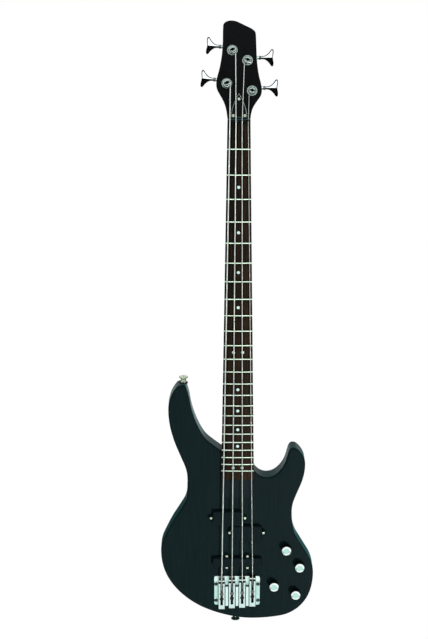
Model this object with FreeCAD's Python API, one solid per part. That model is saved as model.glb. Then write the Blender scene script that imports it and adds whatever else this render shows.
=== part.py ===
import FreeCAD, Part
import math
import os
from FreeCAD import Placement, Rotation, Vector

os.makedirs("parts", exist_ok=True)

# An electric bass guitar, standing upright. X runs to the treble side, Y from front to back, Z up the neck.
# The origin is on the centre line, on the back of the body, level with the scale line at the bridge.
# Lengths are in millimetres and angles in degrees.

# Fits
overrun = 6.0
glue_gap = 0.04
screw_gap = 0.1
running_gap = 0.06
sliding_gap = 0.2
string_gap = 0.3

# Strings, from the thickest
scale_length = 863.6
string_names = ["e", "a", "d", "g"]
string_diameters = {"e": 2.67, "a": 2.16, "d": 1.65, "g": 1.14}
nut_pitch = 10.7
bridge_pitch = 19.4
nut_action = 1.6
bridge_action = 5.2
winding_gap = 0.55
winding_turns = 2
ball_radius = 3.15
ball_bore = 1.2
ball_length = 5.4
ball_set_back = 28.5
crest_bend = 9.0
nut_bend = 14.0

# Body
body_width = 287.6
body_length = 465.8
body_thickness = 40.0
body_edge_radius = 4.0
tail_length = 86.6
body_outline_shares = [
    (0.202, 0.0, 0), (0.866, 0.065, 51), (1.001, 0.199, 90), (0.789, 0.351, 121), (0.709, 0.467, 90),
    (0.806, 0.571, 67), (0.875, 0.671, 91), (0.798, 0.726, 132), (0.718, 0.74, 180), (0.656, 0.722, 255),
    (0.593, 0.663, 241), (0.377, 0.615, 180), (0.216, 0.646, 120), (0.028, 0.708, 159),
    (-0.24, 0.734, 143), (-0.45, 0.795, 121), (-0.574, 0.883, 107), (-0.645, 0.979, 108),
    (-0.693, 1, 180), (-0.787, 0.989, 232), (-0.889, 0.897, 270), (-0.776, 0.734, 292.5),
    (-0.647, 0.602, 269), (-0.703, 0.495, 239), (-0.886, 0.4, 243.5), (-0.998, 0.298, 270),
    (-0.881, 0.166, 302), (-0.64, 0.085, 322), (-0.319, 0.031, 340)]

# Neck and headstock
neck_pocket_depth = 17.0
neck_proud = 1.5
neck_end = 160.5
nut_width = 40.0
last_fret_width = 60.2
neck_depth_at_nut = 15.5
neck_depth_at_octave = 17.5
neck_shoulder = 7.0
neck_side = 0.8
heel_shoulder = 5.0
heel_length = 108.0
heel_blend = 46.0
head_tilt = 11.0
head_drop = 5.0
head_thickness = 14.0
head_width = 80.0
head_length = 168.0
head_edge_radius = 1.2
throat_length = 34.0
throat_width = 38.0
head_outline_shares = [
    (0.508, 0.0, 86), (0.685, 0.137, 57), (0.995, 0.283, 92), (0.838, 0.476, 99), (0.738, 0.83, 92),
    (0.655, 0.898, 139), (0.195, 0.958, 153), (-0.335, 1.0, 180), (-0.638, 0.975, 225),
    (-0.7, 0.911, 268), (-0.708, 0.789, 268.5), (-0.84, 0.523, 257.5), (-0.993, 0.342, 272),
    (-0.74, 0.201, 300), (-0.508, 0.0, 274)]

# Fretboard, frets and nut
board_thickness = 7.0
board_radius = 305.0
board_end = 198.6
fret_count = 24
fret_width = 2.6
fret_height = 1.2
fret_inset = 0.4
tang_width = 0.6
tang_depth = 2.0
dot_radius = 2.7
dot_depth = 1.6
dot_spread = 16.6
single_dot_frets = [3, 5, 7, 9, 15, 17, 19, 21]
double_dot_frets = [12, 24]
side_dot_radius = 1.1
side_dot_length = 2.0
side_dot_spread = 9.0
nut_length = 4.2
nut_shelf = 1.8
nut_rise = 3.0

# Truss rod
rod_radius = 2.6
rod_channel_depth = 9.0
rod_start = 206.0
rod_reach = 12.0
rod_nut_radius = 4.2
rod_nut_length = 11.0
rod_nut_socket = 2.4
rod_pocket_width = 12.0
rod_pocket_length = 27.0
rod_cover_width = 28.4
rod_cover_length = 41.9
rod_cover_start = 0.5
rod_cover_thickness = 2.0
rod_cover_bevel = 0.9
rod_cover_side_inset = 4.2
rod_cover_base_inset = 3.3
rod_cover_tip_inset = 10.0
rod_cover_base_lean = 2.0
rod_cover_tip_lean = 33.0

# Tuners: u and v shares of half the head's width and of its length
tuner_place_shares = {"e": (-0.53, 0.355), "a": (-0.29, 0.695), "d": (0.368, 0.592), "g": (0.568, 0.279)}
tuner_leans = {"e": 5.0, "a": 5.0, "d": 0.0, "g": 0.0}
gear_teeth = 18
tooth_lean = 20.0
thread_sunk_share = 0.8
gear_radius = 4.2
worm_radius = 2.0
tooth_height = 0.42
tooth_gap = 0.13
tooth_play = 0.2
gear_width = 2.6
worm_turns = 6
worm_shaft_radius = 1.9
post_radius = 4.8
post_waist_radius = 4.2
post_top_radius = 5.2
post_top_height = 3.0
post_hole_radius = 2.6
bush_radius = 6.3
bush_head_flats = 13.0
bush_head_height = 4.2
washer_radius = 9.2
washer_thickness = 1.2
tuner_plate_thickness = 1.0
housing_width = 19.0
housing_length = 21.0
housing_depth = 13.0
housing_wall = 1.8
housing_radius = 3.0
housing_ear_radius = 3.6
housing_ear_thickness = 2.4
housing_ear_reach = 4.0
shaft_boss_radius = 3.2
shaft_boss_length = 10.8
key_collar_radius = 3.6
key_collar_length = 2.4
key_stem_radius = 2.2
key_length = 45.8
key_blade_length = 22.5
key_blade_width = 30.0
key_ridge = 8.0
key_edge = 3.6
key_outline_shares = [
    (0.0, 0.17, 0), (0.42, 0.3, 34), (0.74, 0.79, 58), (0.9, 0.995, 0), (1.0, 0.8, 277), (0.945, 0.0, 265)]

# Bridge
bridge_width = 86.4
bridge_front = 2.5
bridge_back = 56.5
bridge_thickness = 3.0
bridge_corner = 4.0
rib_width = 5.0
rib_height = 5.0
rib_front = 17.0
bridge_screw_inset = 3.6
bridge_screw_lines = [13.8, 47.0]
saddle_set_backs = {"e": 3.3, "a": 1.5, "d": 0.4, "g": -2.0}
saddle_width = 11.8
saddle_head = 10.8
saddle_tail = 59.3
saddle_height = 6.4
saddle_floor = 1.6
saddle_notch = 0.9
crest_width = 3.0
rear_groove = 3.65
groove_depth = 5.2
string_slot_width = 4.3
string_slot_end = 51.0
lock_set_back = 38.5
lock_screw_radius = 3.3
lock_screw_sunk = 1.4
height_screw_radius = 1.3
height_screw_spread = 8.0
socket_share = 0.62

# Pickups
pickup_rise = 9.4
pickup_sink = 4.5
pickup_wall = 1.5
pickup_corner = 3.0
pickup_edge_radius = 1.2
pickup_gap = 0.7
pickup_cavity_depth = 18.0
ear_radius = 4.4
ear_rise = 5.6
ear_lift = 0.3
split_length = 56.4
split_width = 28.0
split_line = 106.0
split_step = 29.4
split_offset = 34.8
split_screw_spread = 63.6
straight_length = 91.8
straight_width = 18.2
straight_line = 32.2
straight_screw_spread = 39.0
straight_screw_reach = 2.3
coil_play = 0.4
coil_height = 12.0
coil_width_share = 0.72
magnet_radius = 2.4
magnet_spread = 9.0
foam_play = 4.0

# Controls: x and z shares of half the body's width and of its length
knob_names = ["volume_knob", "blend_knob", "bass_knob", "treble_knob"]
knob_place_shares = [(0.642, 0.312), (0.485, 0.1535), (0.77, 0.1175), (0.818, 0.2375)]
knob_radius = 8.6
knob_height = 15.6
knob_lift = 0.8
knob_bevel_width = 3.0
knob_bevel_height = 1.6
knob_skirt = 1.6
knob_hollow_depth = 4.6
knob_cap = 3.0
pot_radius = 8.0
pot_depth = 8.0
pot_wall = 7.0
pot_bush_radius = 3.5
pot_bush_reach = 3.2
pot_shaft_radius = 3.0
pot_shaft_sunk = 4.0
pot_nut_flats = 10.0
pot_nut_height = 2.0
cavity_margin = 11.0
cavity_ledge = 5.0
cover_thickness = 2.2
cover_sunk = 0.3
board_margin = 5.5
circuit_thickness = 1.6
battery_width = 26.5
battery_length = 46.4
battery_depth = 17.0
battery_edge = 2.0
battery_stud_radius = 3.2
battery_stud_height = 2.6

# Output jack
jack_place = 66.0
jack_seat = 5.0
jack_seat_radius = 10.5
jack_radius = 6.0
jack_bore = 3.25
jack_length = 44.0
jack_bore_length = 36.0
jack_tag_width = 2.4
jack_tag_length = 6.0
jack_tag_thickness = 0.8
jack_nut_flats = 15.0
jack_nut_height = 2.2

# Strap buttons
button_radius = 8.2
button_waist = 4.4
button_base = 6.2
button_height = 11.2
button_seat = 1.4
tail_button_place = -2.6
felt_radius = 8.0
felt_thickness = 2.0

# Neck joint
neck_screw_spread = 38.0
neck_screw_lines = [174.0, 207.0]
ferrule_radius = 7.0
ferrule_thickness = 4.0

# Screws: head radius, shank radius and length
trim_screw = (2.2, 1.2, 9.0)
pickup_screw = (2.0, 1.1, 16.0)
bridge_screw = (3.4, 1.9, 22.0)
neck_screw = (4.4, 2.3, 34.0)
strap_screw = (4.0, 2.0, 32.0)
recess_width_share = 0.26
recess_reach_share = 0.62
recess_depth_share = 0.7

# Planes that the pieces share
front = -body_thickness
neck_face = front - neck_proud
board_top = neck_face - board_thickness
pocket_floor = front + neck_pocket_depth
bridge_top = front - bridge_thickness
middle = -body_thickness / 2
half_body = body_width / 2
nut_end = scale_length + nut_length
head_start = nut_end + nut_shelf
head_face = board_top + head_drop
head_frame = Placement(Vector(0, head_face, head_start), Rotation(Vector(1, 0, 0), -head_tilt))
nearly_straight_share = 1e-6


# Drawing helpers
def line(start, end):
    return Part.LineSegment(start, end).toShape()


def arc(start, way, end):
    """The arc from start to end that sets out along way, or a straight edge where way points at end."""
    chord = end - start
    ahead = way.dot(chord) / chord.Length
    across = way - chord * (ahead / chord.Length)
    if across.Length < nearly_straight_share:
        return line(start, end)
    rise = math.tan(math.atan2(across.Length, ahead) / 2) * chord.Length / 2
    return Part.Arc(start, (start + end) / 2 + across.normalize() * rise, end).toShape()


def biarc(start, start_way, end, end_way):
    """Two arcs that meet smoothly and join start to end with the ways given there."""
    span = end - start
    bend = 2 * (1 - start_way.dot(end_way))
    lean = span.dot(start_way + end_way)
    if bend < nearly_straight_share:
        reach = span.dot(span) / (2 * lean)
    else:
        reach = (math.sqrt(lean * lean + bend * span.dot(span)) - lean) / bend
    first = start + start_way * reach
    second = end - end_way * reach
    joint = (first + second) / 2
    return [arc(start, start_way, joint), arc(joint, (second - first).normalize(), end)]


def way_of(angle):
    return Vector(math.cos(math.radians(angle)), 0, math.sin(math.radians(angle)))


def outline(points):
    """Edges through (x, z, heading) points in the plane y = 0, as pairs of tangent arcs."""
    edges = []
    for (x0, z0, turn0), (x1, z1, turn1) in zip(points, points[1:]):
        edges += biarc(Vector(x0, 0, z0), way_of(turn0), Vector(x1, 0, z1), way_of(turn1))
    return edges


def hull(corners, radius):
    """Edges round a convex shape, at a radius outside its (x, z) corners, which run anticlockwise."""
    spots = [Vector(x, 0, z) for x, z in corners]
    outward = []
    for here, there in zip(spots, spots[1:] + spots[:1]):
        way = (there - here).normalize()
        outward.append(Vector(way.z, 0, -way.x))
    edges = []
    for index, spot in enumerate(spots):
        before, after = outward[index - 1], outward[index]
        corner = (before + after).normalize() * radius
        edges.append(Part.Arc(spot + before * radius, spot + corner, spot + after * radius).toShape())
        edges.append(line(spot + after * radius, spots[(index + 1) % len(spots)] + after * radius))
    return edges


def rectangle(x, z, radius):
    """Edges of a rectangle with rounded corners between the pairs x and z."""
    west, east = x[0] + radius, x[1] - radius
    south, north = z[0] + radius, z[1] - radius
    return hull([(west, south), (east, south), (east, north), (west, north)], radius)


def plate(edges, low, high):
    """A flat piece with the outline given, from y = low to y = high."""
    face = Part.Face(Part.Wire(edges))
    face.translate(Vector(0, low, 0))
    return face.extrude(Vector(0, high - low, 0))


def block(x, y, z):
    """A box between the pairs x, y and z, each given in either order."""
    corner = Vector(min(x), min(y), min(z))
    return Part.makeBox(max(x) - min(x), max(y) - min(y), max(z) - min(z), corner)


def rod(start, end, radius):
    return Part.makeCylinder(radius, (end - start).Length, start, end - start)


def turned(profile, base, way):
    """A turned piece: (radius, height) corners, spun round the line from base along way."""
    corners = [Vector(radius, 0, height) for radius, height in profile]
    face = Part.Face(Part.makePolygon(corners + corners[:1]))
    solid = face.revolve(Vector(0, 0, 0), Vector(0, 0, 1), 360)
    solid.Placement = Placement(base, Rotation(Vector(0, 0, 1), way))
    return solid


def hexagon(flats, height, base, way):
    """A hexagonal prism on base, measured across its flats."""
    corner = flats / math.sqrt(3)
    corners = [way_of(60 * side) * corner for side in range(7)]
    solid = Part.Face(Part.makePolygon(corners)).extrude(Vector(0, height, 0))
    solid.Placement = Placement(base, Rotation(Vector(0, 1, 0), way))
    return solid


def screw(sizes, head, way):
    """A countersunk screw with a cross recess: head is the middle of its top, way is where it drives."""
    head_radius, shank_radius, length = sizes
    cone = head_radius - shank_radius
    tip = 2 * shank_radius
    profile = [(0, 0), (head_radius, 0), (shank_radius, cone), (shank_radius, length - tip), (0, length)]
    solid = turned(profile, Vector(0, 0, 0), Vector(0, 0, 1))
    half = head_radius * recess_width_share / 2
    reach = head_radius * recess_reach_share
    deep = (-overrun, cone * recess_depth_share)
    slots = [block((-half, half), (-reach, reach), deep), block((-reach, reach), (-half, half), deep)]
    solid = solid.cut(slots)
    solid.Placement = Placement(head, Rotation(Vector(0, 0, 1), way))
    return solid


def screw_space(sizes, head, way):
    """The hole that takes such a screw, open above its head."""
    head_radius, shank_radius, length = [size + screw_gap for size in sizes]
    cone = head_radius - shank_radius
    profile = [(0, -overrun), (head_radius, -overrun), (head_radius, 0),
               (shank_radius, cone), (shank_radius, length), (0, length)]
    return turned(profile, head, way)


def channel(start, end, radius):
    """A round-bottomed groove from start to end, open towards the front."""
    way = end - start
    groove = Part.makeCylinder(radius, way.Length)
    groove = groove.fuse(block((-radius, radius), (0, -overrun), (0, way.Length)))
    side = Vector(1, 0, 0) - way * (way.x / way.dot(way))
    side.normalize()
    along = Vector(way).normalize()
    groove.Placement = Placement(start, Rotation(side, along.cross(side), along, "ZXY"))
    return groove


def on_head(shape):
    """A piece drawn on the headstock's own plane, moved to where that plane lies."""
    placed = shape.copy()
    placed.Placement = head_frame.multiply(shape.Placement)
    return placed


def save(name, solids):
    """Writes one node, after a test that each of its solids is sound."""
    for solid in solids:
        if not solid.isValid() or len(solid.Solids) != 1:
            print("UNSOUND", name, len(solid.Solids), solid.isValid())
    shape = solids[0] if len(solids) == 1 else Part.makeCompound(solids)
    shape.exportStep("parts/" + name + ".step")


def fret_line(number):
    return scale_length * 2 ** (-number / 12)


def half_width(z):
    """Half the width of the neck and fretboard at height z."""
    span = scale_length - fret_line(fret_count)
    return (nut_width + (last_fret_width - nut_width) * (scale_length - z) / span) / 2


def string_place(name, pitch):
    return (string_names.index(name) - (len(string_names) - 1) / 2) * pitch


def board_drop(x):
    """How far the curved top of the fretboard lies below its middle at x."""
    return board_radius - math.sqrt(board_radius ** 2 - x ** 2)


def nut_point(name):
    """The middle of a string where it leaves the nut."""
    x = string_place(name, nut_pitch)
    return Vector(x, board_top - nut_action - string_diameters[name] / 2 + board_drop(x), scale_length)


def crest_point(name):
    """The middle of a string on its saddle."""
    x = string_place(name, bridge_pitch)
    y = board_top - bridge_action - string_diameters[name] / 2 + board_drop(x)
    return Vector(x, y, -saddle_set_backs[name])


def string_at(name, z):
    """The middle of a string at height z between bridge and nut."""
    low, high = crest_point(name), nut_point(name)
    return low + (high - low) * ((z - low.z) / (high.z - low.z))


def tuner_place(name):
    u_share, v_share = tuner_place_shares[name]
    return Vector(u_share * head_width / 2, 0, v_share * head_length)


def tuner_side(name):
    return math.copysign(1, tuner_place(name).x)


def on_tuner(name, shape):
    """A piece of a tuner, turned about its post so that its key leans up, and put on the headstock."""
    leaning = shape.copy()
    leaning.rotate(tuner_place(name), Vector(0, 1, 0), -tuner_side(name) * tuner_leans[name])
    return on_head(leaning)


# Body blank
body_points = [(x * half_body, z * body_length - tail_length, turn) for x, z, turn in body_outline_shares]
blank = plate(outline(body_points + body_points[:1]), front, 0)
rims = [edge for edge in blank.Edges if edge.BoundBox.YLength < glue_gap]
body = blank.makeFillet(body_edge_radius, rims)
body_cuts = []

# Fretboard: a tapered board whose top is part of a cylinder
board_axis = Vector(0, board_top + board_radius, 0)
up = Vector(0, 0, 1)
taper = [(half_width(board_end), board_end), (half_width(scale_length), scale_length)]
corners = [Vector(x, neck_face, z) for x, z in taper]
corners += [Vector(-x, neck_face, z) for x, z in reversed(taper)]
fretboard = Part.Face(Part.makePolygon(corners + corners[:1])).extrude(Vector(0, -board_thickness, 0))
camber = Part.makeCylinder(board_radius, scale_length + overrun, board_axis, up)
fretboard = fretboard.common(camber)


def bent_bar(edges, z):
    """A bar with the section given, bent round the fretboard's curve at height z."""
    half_angle = math.degrees(math.asin((half_width(z) - fret_inset) / board_radius))
    face = Part.Face(Part.Wire(edges))
    face.rotate(board_axis, up, -half_angle)
    return face.revolve(board_axis, up, 2 * half_angle)


# Frets: a domed crown over a tang that sits in its slot
frets = []
fret_slots = []
for number in range(1, fret_count + 1):
    z = fret_line(number)
    seat = board_top - glue_gap
    half_crown = fret_width / 2
    crown = [Vector(0, seat, z - half_crown), Vector(0, seat - fret_height, z),
             Vector(0, seat, z + half_crown)]
    foot = [Vector(0, y, z + side * tang_width / 2) for y, side in
            ((seat, 1), (board_top + tang_depth, 1), (board_top + tang_depth, -1), (seat, -1))]
    edges = [Part.Arc(*crown).toShape(), line(crown[2], foot[0])]
    edges += [line(a, b) for a, b in zip(foot, foot[1:])] + [line(foot[3], crown[0])]
    frets.append(bent_bar(edges, z))
    half_slot = tang_width / 2 + glue_gap
    slot = [Vector(0, y, z + side * half_slot) for y, side in
            ((board_top - overrun, 1), (board_top + tang_depth + glue_gap, 1),
             (board_top + tang_depth + glue_gap, -1), (board_top - overrun, -1))]
    fret_slots.append(bent_bar([line(a, b) for a, b in zip(slot, slot[1:] + slot[:1])], z))

# Position dots on the board's face and side dots on its bass edge
dot_places = []
side_dot_places = []
for number in single_dot_frets:
    z = (fret_line(number) + fret_line(number - 1)) / 2
    dot_places.append(Vector(0, board_top, z))
    side_dot_places.append(z)
for number in double_dot_frets:
    z = (fret_line(number) + fret_line(number - 1)) / 2
    dot_places += [Vector(side * dot_spread / 2, board_top, z) for side in (-1, 1)]
    spread = min(side_dot_spread, (fret_line(number - 1) - fret_line(number)) / 2)
    side_dot_places += [z + side * spread / 2 for side in (-1, 1)]
position_dots = []
dot_cuts = []
for place in dot_places:
    sunk = place + Vector(0, dot_depth, 0)
    proud = place - Vector(0, overrun, 0)
    position_dots.append(rod(sunk, proud, dot_radius).common(camber))
    dot_cuts.append(rod(sunk + Vector(0, glue_gap, 0), proud, dot_radius + glue_gap))
side_dots = []
for z in side_dot_places:
    edge = Vector(-half_width(z), board_top + board_thickness / 2, z)
    inside = edge + Vector(side_dot_length, 0, 0)
    fit = Vector(glue_gap, 0, 0)
    side_dots.append(rod(edge + fit, inside, side_dot_radius))
    dot_cuts.append(rod(edge - Vector(overrun, 0, 0), inside + fit, side_dot_radius + glue_gap))
fretboard = fretboard.cut(fret_slots + dot_cuts)


# Neck: sections from the heel to the throat of the headstock, joined by straight surfaces
def neck_section(frame, half, side, corner, depth):
    """A flat top, short sides, round shoulders and a long curve across the back."""
    reach = half - corner
    round_depth = depth - side
    radius = (reach ** 2 + round_depth ** 2 - corner ** 2) / (2 * (round_depth - corner))
    centre = Vector(0, depth - radius, 0)
    shoulder = Vector(reach, side, 0)
    lean = (shoulder - centre).normalize()
    meet = shoulder + lean * corner
    bulge = shoulder + (lean + Vector(1, 0, 0)).normalize() * corner

    def mirrored(point):
        return Vector(-point.x, point.y, point.z)

    top, low = Vector(half, 0, 0), Vector(half, side, 0)
    edges = [line(mirrored(top), top), line(top, low), Part.Arc(low, bulge, meet).toShape(),
             Part.Arc(meet, Vector(0, depth, 0), mirrored(meet)).toShape(),
             Part.Arc(mirrored(meet), mirrored(bulge), mirrored(low)).toShape(),
             line(mirrored(low), mirrored(top))]
    wire = Part.Wire(edges)
    wire.Placement = frame
    return wire


def level(z):
    return Placement(Vector(0, neck_face, z), Rotation())


heel_depth = pocket_floor - neck_face
heel_top = neck_end + heel_length
octave = fret_line(12)
heel_side = heel_depth - heel_shoulder - screw_gap
heel_frames = [neck_end + screw_gap, heel_top]
sections = [neck_section(level(z), half_width(z), heel_side, heel_shoulder, heel_depth) for z in heel_frames]
neck_depths = [(heel_top + heel_blend, neck_depth_at_octave), (octave, neck_depth_at_octave)]
neck_depths.append((head_start, neck_depth_at_nut))
for z, depth in neck_depths:
    half = half_width(min(z, scale_length))
    sections.append(neck_section(level(z), half, neck_side, neck_shoulder, depth))
throat_frame = head_frame.multiply(Placement(Vector(0, rod_cover_bevel, throat_length), Rotation()))
throat_depth = head_thickness - 2 * rod_cover_bevel
sections.append(neck_section(throat_frame, throat_width / 2, neck_side, neck_shoulder, throat_depth))
neck = Part.makeLoft(sections, True, True)

# Headstock, tilted back, with its outline wider than the throat
head_points = [(u * head_width / 2, v * head_length, turn) for u, v, turn in head_outline_shares]
head_edges = outline(head_points)
head_edges.append(line(Vector(head_points[-1][0], 0, 0), Vector(head_points[0][0], 0, 0)))
headstock = plate(head_edges, 0, head_thickness)
head_rims = [edge for edge in headstock.Edges
             if edge.BoundBox.YLength < glue_gap and edge.BoundBox.ZMax > head_edge_radius]
headstock = headstock.makeFillet(head_edge_radius, head_rims)
neck = neck.fuse(on_head(headstock))
neck_cuts = []

# Neck pocket in the body and the four screws that draw the neck in
pocket_top = heel_top + heel_blend
pocket_corners = [Vector(side * (half_width(z) + screw_gap), front - overrun, z)
                  for side, z in ((1, neck_end), (1, pocket_top), (-1, pocket_top), (-1, neck_end))]
pocket = Part.Face(Part.makePolygon(pocket_corners + pocket_corners[:1]))
body_cuts.append(pocket.extrude(Vector(0, overrun + neck_pocket_depth, 0)))
neck_screws = []
neck_ferrules = []
forward = Vector(0, -1, 0)
backward = Vector(0, 1, 0)
for z in neck_screw_lines:
    for side in (-1, 1):
        seat = Vector(side * neck_screw_spread / 2, -cover_sunk, z)
        floor = seat + forward * ferrule_thickness
        space = screw_space(neck_screw, seat, forward)
        neck_screws.append(screw(neck_screw, seat, forward))
        neck_ferrules.append(rod(seat, floor, ferrule_radius).cut(space))
        body_cuts += [space, rod(seat + backward * overrun, floor, ferrule_radius + screw_gap)]
        neck_cuts.append(space)

# Nut, with a groove for each string, on a seat at the end of the fretboard
nut_wide = (-nut_width / 2, nut_width / 2)
nut = block(nut_wide, (neck_face, board_top - nut_rise), (scale_length, nut_end))
shelf = block(nut_wide, (neck_face + neck_side, head_face), (nut_end + glue_gap, head_start))
neck = neck.fuse(shelf)
seat_wide = (-head_width / 2, head_width / 2)
neck_cuts.append(block(seat_wide, (neck_face, board_top - overrun), (scale_length, nut_end + glue_gap)))

# Truss rod in its channel, its nut in a pocket under the cover
rod_line = neck_face + rod_channel_depth - rod_radius - screw_gap
rod_end = head_start + rod_reach
rod_foot, rod_tip = Vector(0, rod_line, rod_start), Vector(0, rod_line, rod_end)
truss_rod = rod(rod_foot, rod_tip, rod_radius)
channel_half = rod_radius + screw_gap
neck_cuts.append(block((-channel_half, channel_half), (neck_face - glue_gap, neck_face + rod_channel_depth),
                       (rod_start - screw_gap, nut_end)))
pocket_half = rod_pocket_width / 2
rod_pocket = block((-pocket_half, pocket_half), (board_top, rod_line + rod_nut_radius + sliding_gap),
                   (head_start + rod_cover_start, head_start + rod_pocket_length))
neck_cuts.append(rod_pocket)
neck_cuts.append(rod(rod_foot, rod_tip, channel_half))
half_nut = up * (rod_nut_length / 2)
rod_nut = rod(rod_tip - half_nut, rod_tip + half_nut, rod_nut_radius)
rod_nut = rod_nut.cut(rod(rod_foot, rod_tip + up * running_gap, rod_radius + running_gap))
rod_nut = rod_nut.cut(hexagon(2 * rod_nut_socket, overrun, rod_tip + half_nut / 2, up))

# Truss rod cover: a pointed arch with a bevelled edge, and its three screws
cover_half = rod_cover_width / 2
cover_tip = rod_cover_start + rod_cover_length
base_rise, tip_rise = 90 + rod_cover_base_lean, 90 + rod_cover_tip_lean
arch = outline([(cover_half, rod_cover_start, base_rise), (0, cover_tip, tip_rise)])
arch += outline([(0, cover_tip, 360 - tip_rise), (-cover_half, rod_cover_start, 360 - base_rise)])
arch.append(line(Vector(-cover_half, 0, rod_cover_start), Vector(cover_half, 0, rod_cover_start)))
rod_cover = plate(arch, -rod_cover_thickness, 0)
cover_rims = [edge for edge in rod_cover.Edges if edge.BoundBox.YMax < -rod_cover_thickness + glue_gap]
rod_cover = rod_cover.makeChamfer(rod_cover_bevel, cover_rims)
trim_screws = []
base_line = rod_cover_start + rod_cover_base_inset
base_reach = cover_half - rod_cover_side_inset
for u, v in ((0, cover_tip - rod_cover_tip_inset), (-base_reach, base_line), (base_reach, base_line)):
    seat = Vector(u, -rod_cover_thickness, v)
    space = screw_space(trim_screw, seat, backward)
    rod_cover = rod_cover.cut(space)
    neck_cuts.append(on_head(space))
    trim_screws.append(on_head(screw(trim_screw, seat, backward)))
rod_cover = on_head(rod_cover)

# Worm and gear: the worm's thread meets the gear at the gear's edge nearest the key shaft
tooth_pitch = 2 * math.pi * gear_radius / gear_teeth
shaft_offset = gear_radius + worm_radius
gear_line = head_thickness + tuner_plate_thickness + (housing_depth - tuner_plate_thickness) / 2
worm_length = worm_turns * tooth_pitch
flank = tooth_height * math.tan(math.radians(tooth_lean))


def gear_wheel(name):
    """A thin wheel whose teeth leave a space that faces the worm."""
    tooth = (tooth_pitch / 2 - tooth_play) / gear_radius / 2
    lean = flank / gear_radius
    tip, root = gear_radius + tooth_height, gear_radius - tooth_height - tooth_gap
    corners = []
    for index in range(gear_teeth):
        centre = math.pi / 2 + (index + 0.5) * 2 * math.pi / gear_teeth
        wide, narrow = tooth + lean, tooth - lean
        for radius, angle in ((root, -wide), (tip, -narrow), (tip, narrow), (root, wide)):
            corners.append(way_of(math.degrees(centre + angle)) * radius)
    wheel = Part.Face(Part.makePolygon(corners + corners[:1])).extrude(Vector(0, gear_width, 0))
    wheel.translate(tuner_place(name) + Vector(0, gear_line - gear_width / 2, 0))
    return wheel


def worm(name):
    """A right-handed screw thread on a core, lying across the headstock."""
    root = worm_radius - tooth_height - tooth_gap
    tip = worm_radius + tooth_height
    half = tooth_pitch / 4 - tooth_play / 2
    helix = Part.makeHelix(tooth_pitch, worm_length, worm_radius)
    sunk = root * thread_sunk_share
    sunk_half = half + flank * (worm_radius - sunk) / tooth_height
    tip_half = half - flank
    teeth = [(sunk, -sunk_half), (tip, -tip_half), (tip, tip_half), (sunk, sunk_half)]
    corners = [Vector(radius, 0, z) for radius, z in teeth]
    section = Part.makePolygon(corners + corners[:1])
    thread = Part.Wire(helix).makePipeShell([section], True, True)
    core = Part.makeCylinder(root, worm_length + 2 * tooth_pitch, Vector(0, 0, -tooth_pitch))
    screwed = core.fuse(thread)
    screwed.translate(Vector(0, 0, -worm_length / 2))
    turn = Rotation(Vector(0, 0, -1), Vector(0, 1, 0), Vector(1, 0, 0), "ZXY")
    lying = Placement(tuner_place(name) + Vector(0, gear_line, shaft_offset), turn)
    screwed.Placement = lying.multiply(screwed.Placement)
    return screwed


# Tuner key: worm, shaft, collar and a flared blade that is thickest along its middle
def tuner_key(name):
    side = tuner_side(name)
    start = tuner_place(name) + Vector(0, gear_line, shaft_offset)
    out = Vector(side, 0, 0)
    thread_end = worm_length / 2 + tooth_pitch / 2
    inner_end = housing_width / 2 - housing_wall / 2
    shaft = rod(start - out * inner_end, start - out * thread_end, worm_shaft_radius)
    collar_start = housing_width / 2 + shaft_boss_length + sliding_gap
    blade_start = key_length - key_blade_length
    outer_end = start + out * (collar_start + sliding_gap)
    shaft = shaft.fuse(rod(start + out * thread_end, outer_end, worm_shaft_radius))
    stem_end = blade_start + key_blade_length / 4
    collar_end = collar_start + key_collar_length
    stem_profile = [(0, collar_start), (key_collar_radius, collar_start), (key_collar_radius, collar_end),
                    (key_stem_radius, collar_end + key_stem_radius), (key_stem_radius, stem_end),
                    (0, stem_end)]
    stem = turned(stem_profile, start, out)
    half = key_blade_width / 2
    upper = [(blade_start + x * key_blade_length, z * half, turn) for x, z, turn in key_outline_shares]
    edges = outline(upper)
    edges += [edge.mirror(Vector(0, 0, 0), Vector(0, 0, 1)) for edge in reversed(edges)]
    edges.append(line(Vector(upper[0][0], 0, -upper[0][1]), Vector(upper[0][0], 0, upper[0][1])))
    blade = Part.Face(Part.Wire(Part.__sortEdges__(edges)))
    blade.translate(Vector(0, -key_ridge / 2, 0))
    blade = blade.extrude(Vector(0, key_ridge, 0))
    ridge, brink = key_ridge / 2, key_edge / 2
    facets = [(-ridge, 0), (-brink, half), (brink, half), (ridge, 0), (brink, -half), (-brink, -half)]
    corners = [Vector(0, y, z) for y, z in facets]
    wedge = Part.Face(Part.makePolygon(corners + corners[:1])).extrude(Vector(key_length + overrun, 0, 0))
    blade = blade.common(wedge)
    if side < 0:
        blade = blade.mirror(Vector(0, 0, 0), Vector(1, 0, 0))
    blade.translate(start)
    return on_tuner(name, worm(name).fuse([shaft, stem, blade]).removeSplitter())


# Strings: from the ball, over the saddle and the nut, round the post and into its slot
def tuner_waist(name):
    """Radius of the wound string's middle line and its height above the headstock at the first turn."""
    radius = string_diameters[name] / 2
    return post_waist_radius + string_gap + radius, washer_thickness + bush_head_height + string_gap + radius


def winding_climb(name):
    return string_diameters[name] + winding_gap


def corner(before, point, after, radius):
    """The start and end of the bend that takes a path round a point."""
    back = (before - point).normalize()
    ahead = (after - point).normalize()
    half = (math.pi - back.getAngle(ahead)) / 2
    reach = radius * math.tan(half)
    return point + back * reach, point + ahead * reach


def ball_point(name):
    crest = crest_point(name)
    ball_seat = bridge_top - sliding_gap - saddle_floor - glue_gap
    return Vector(crest.x, ball_seat - ball_length / 2, crest.z - ball_set_back)


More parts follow.
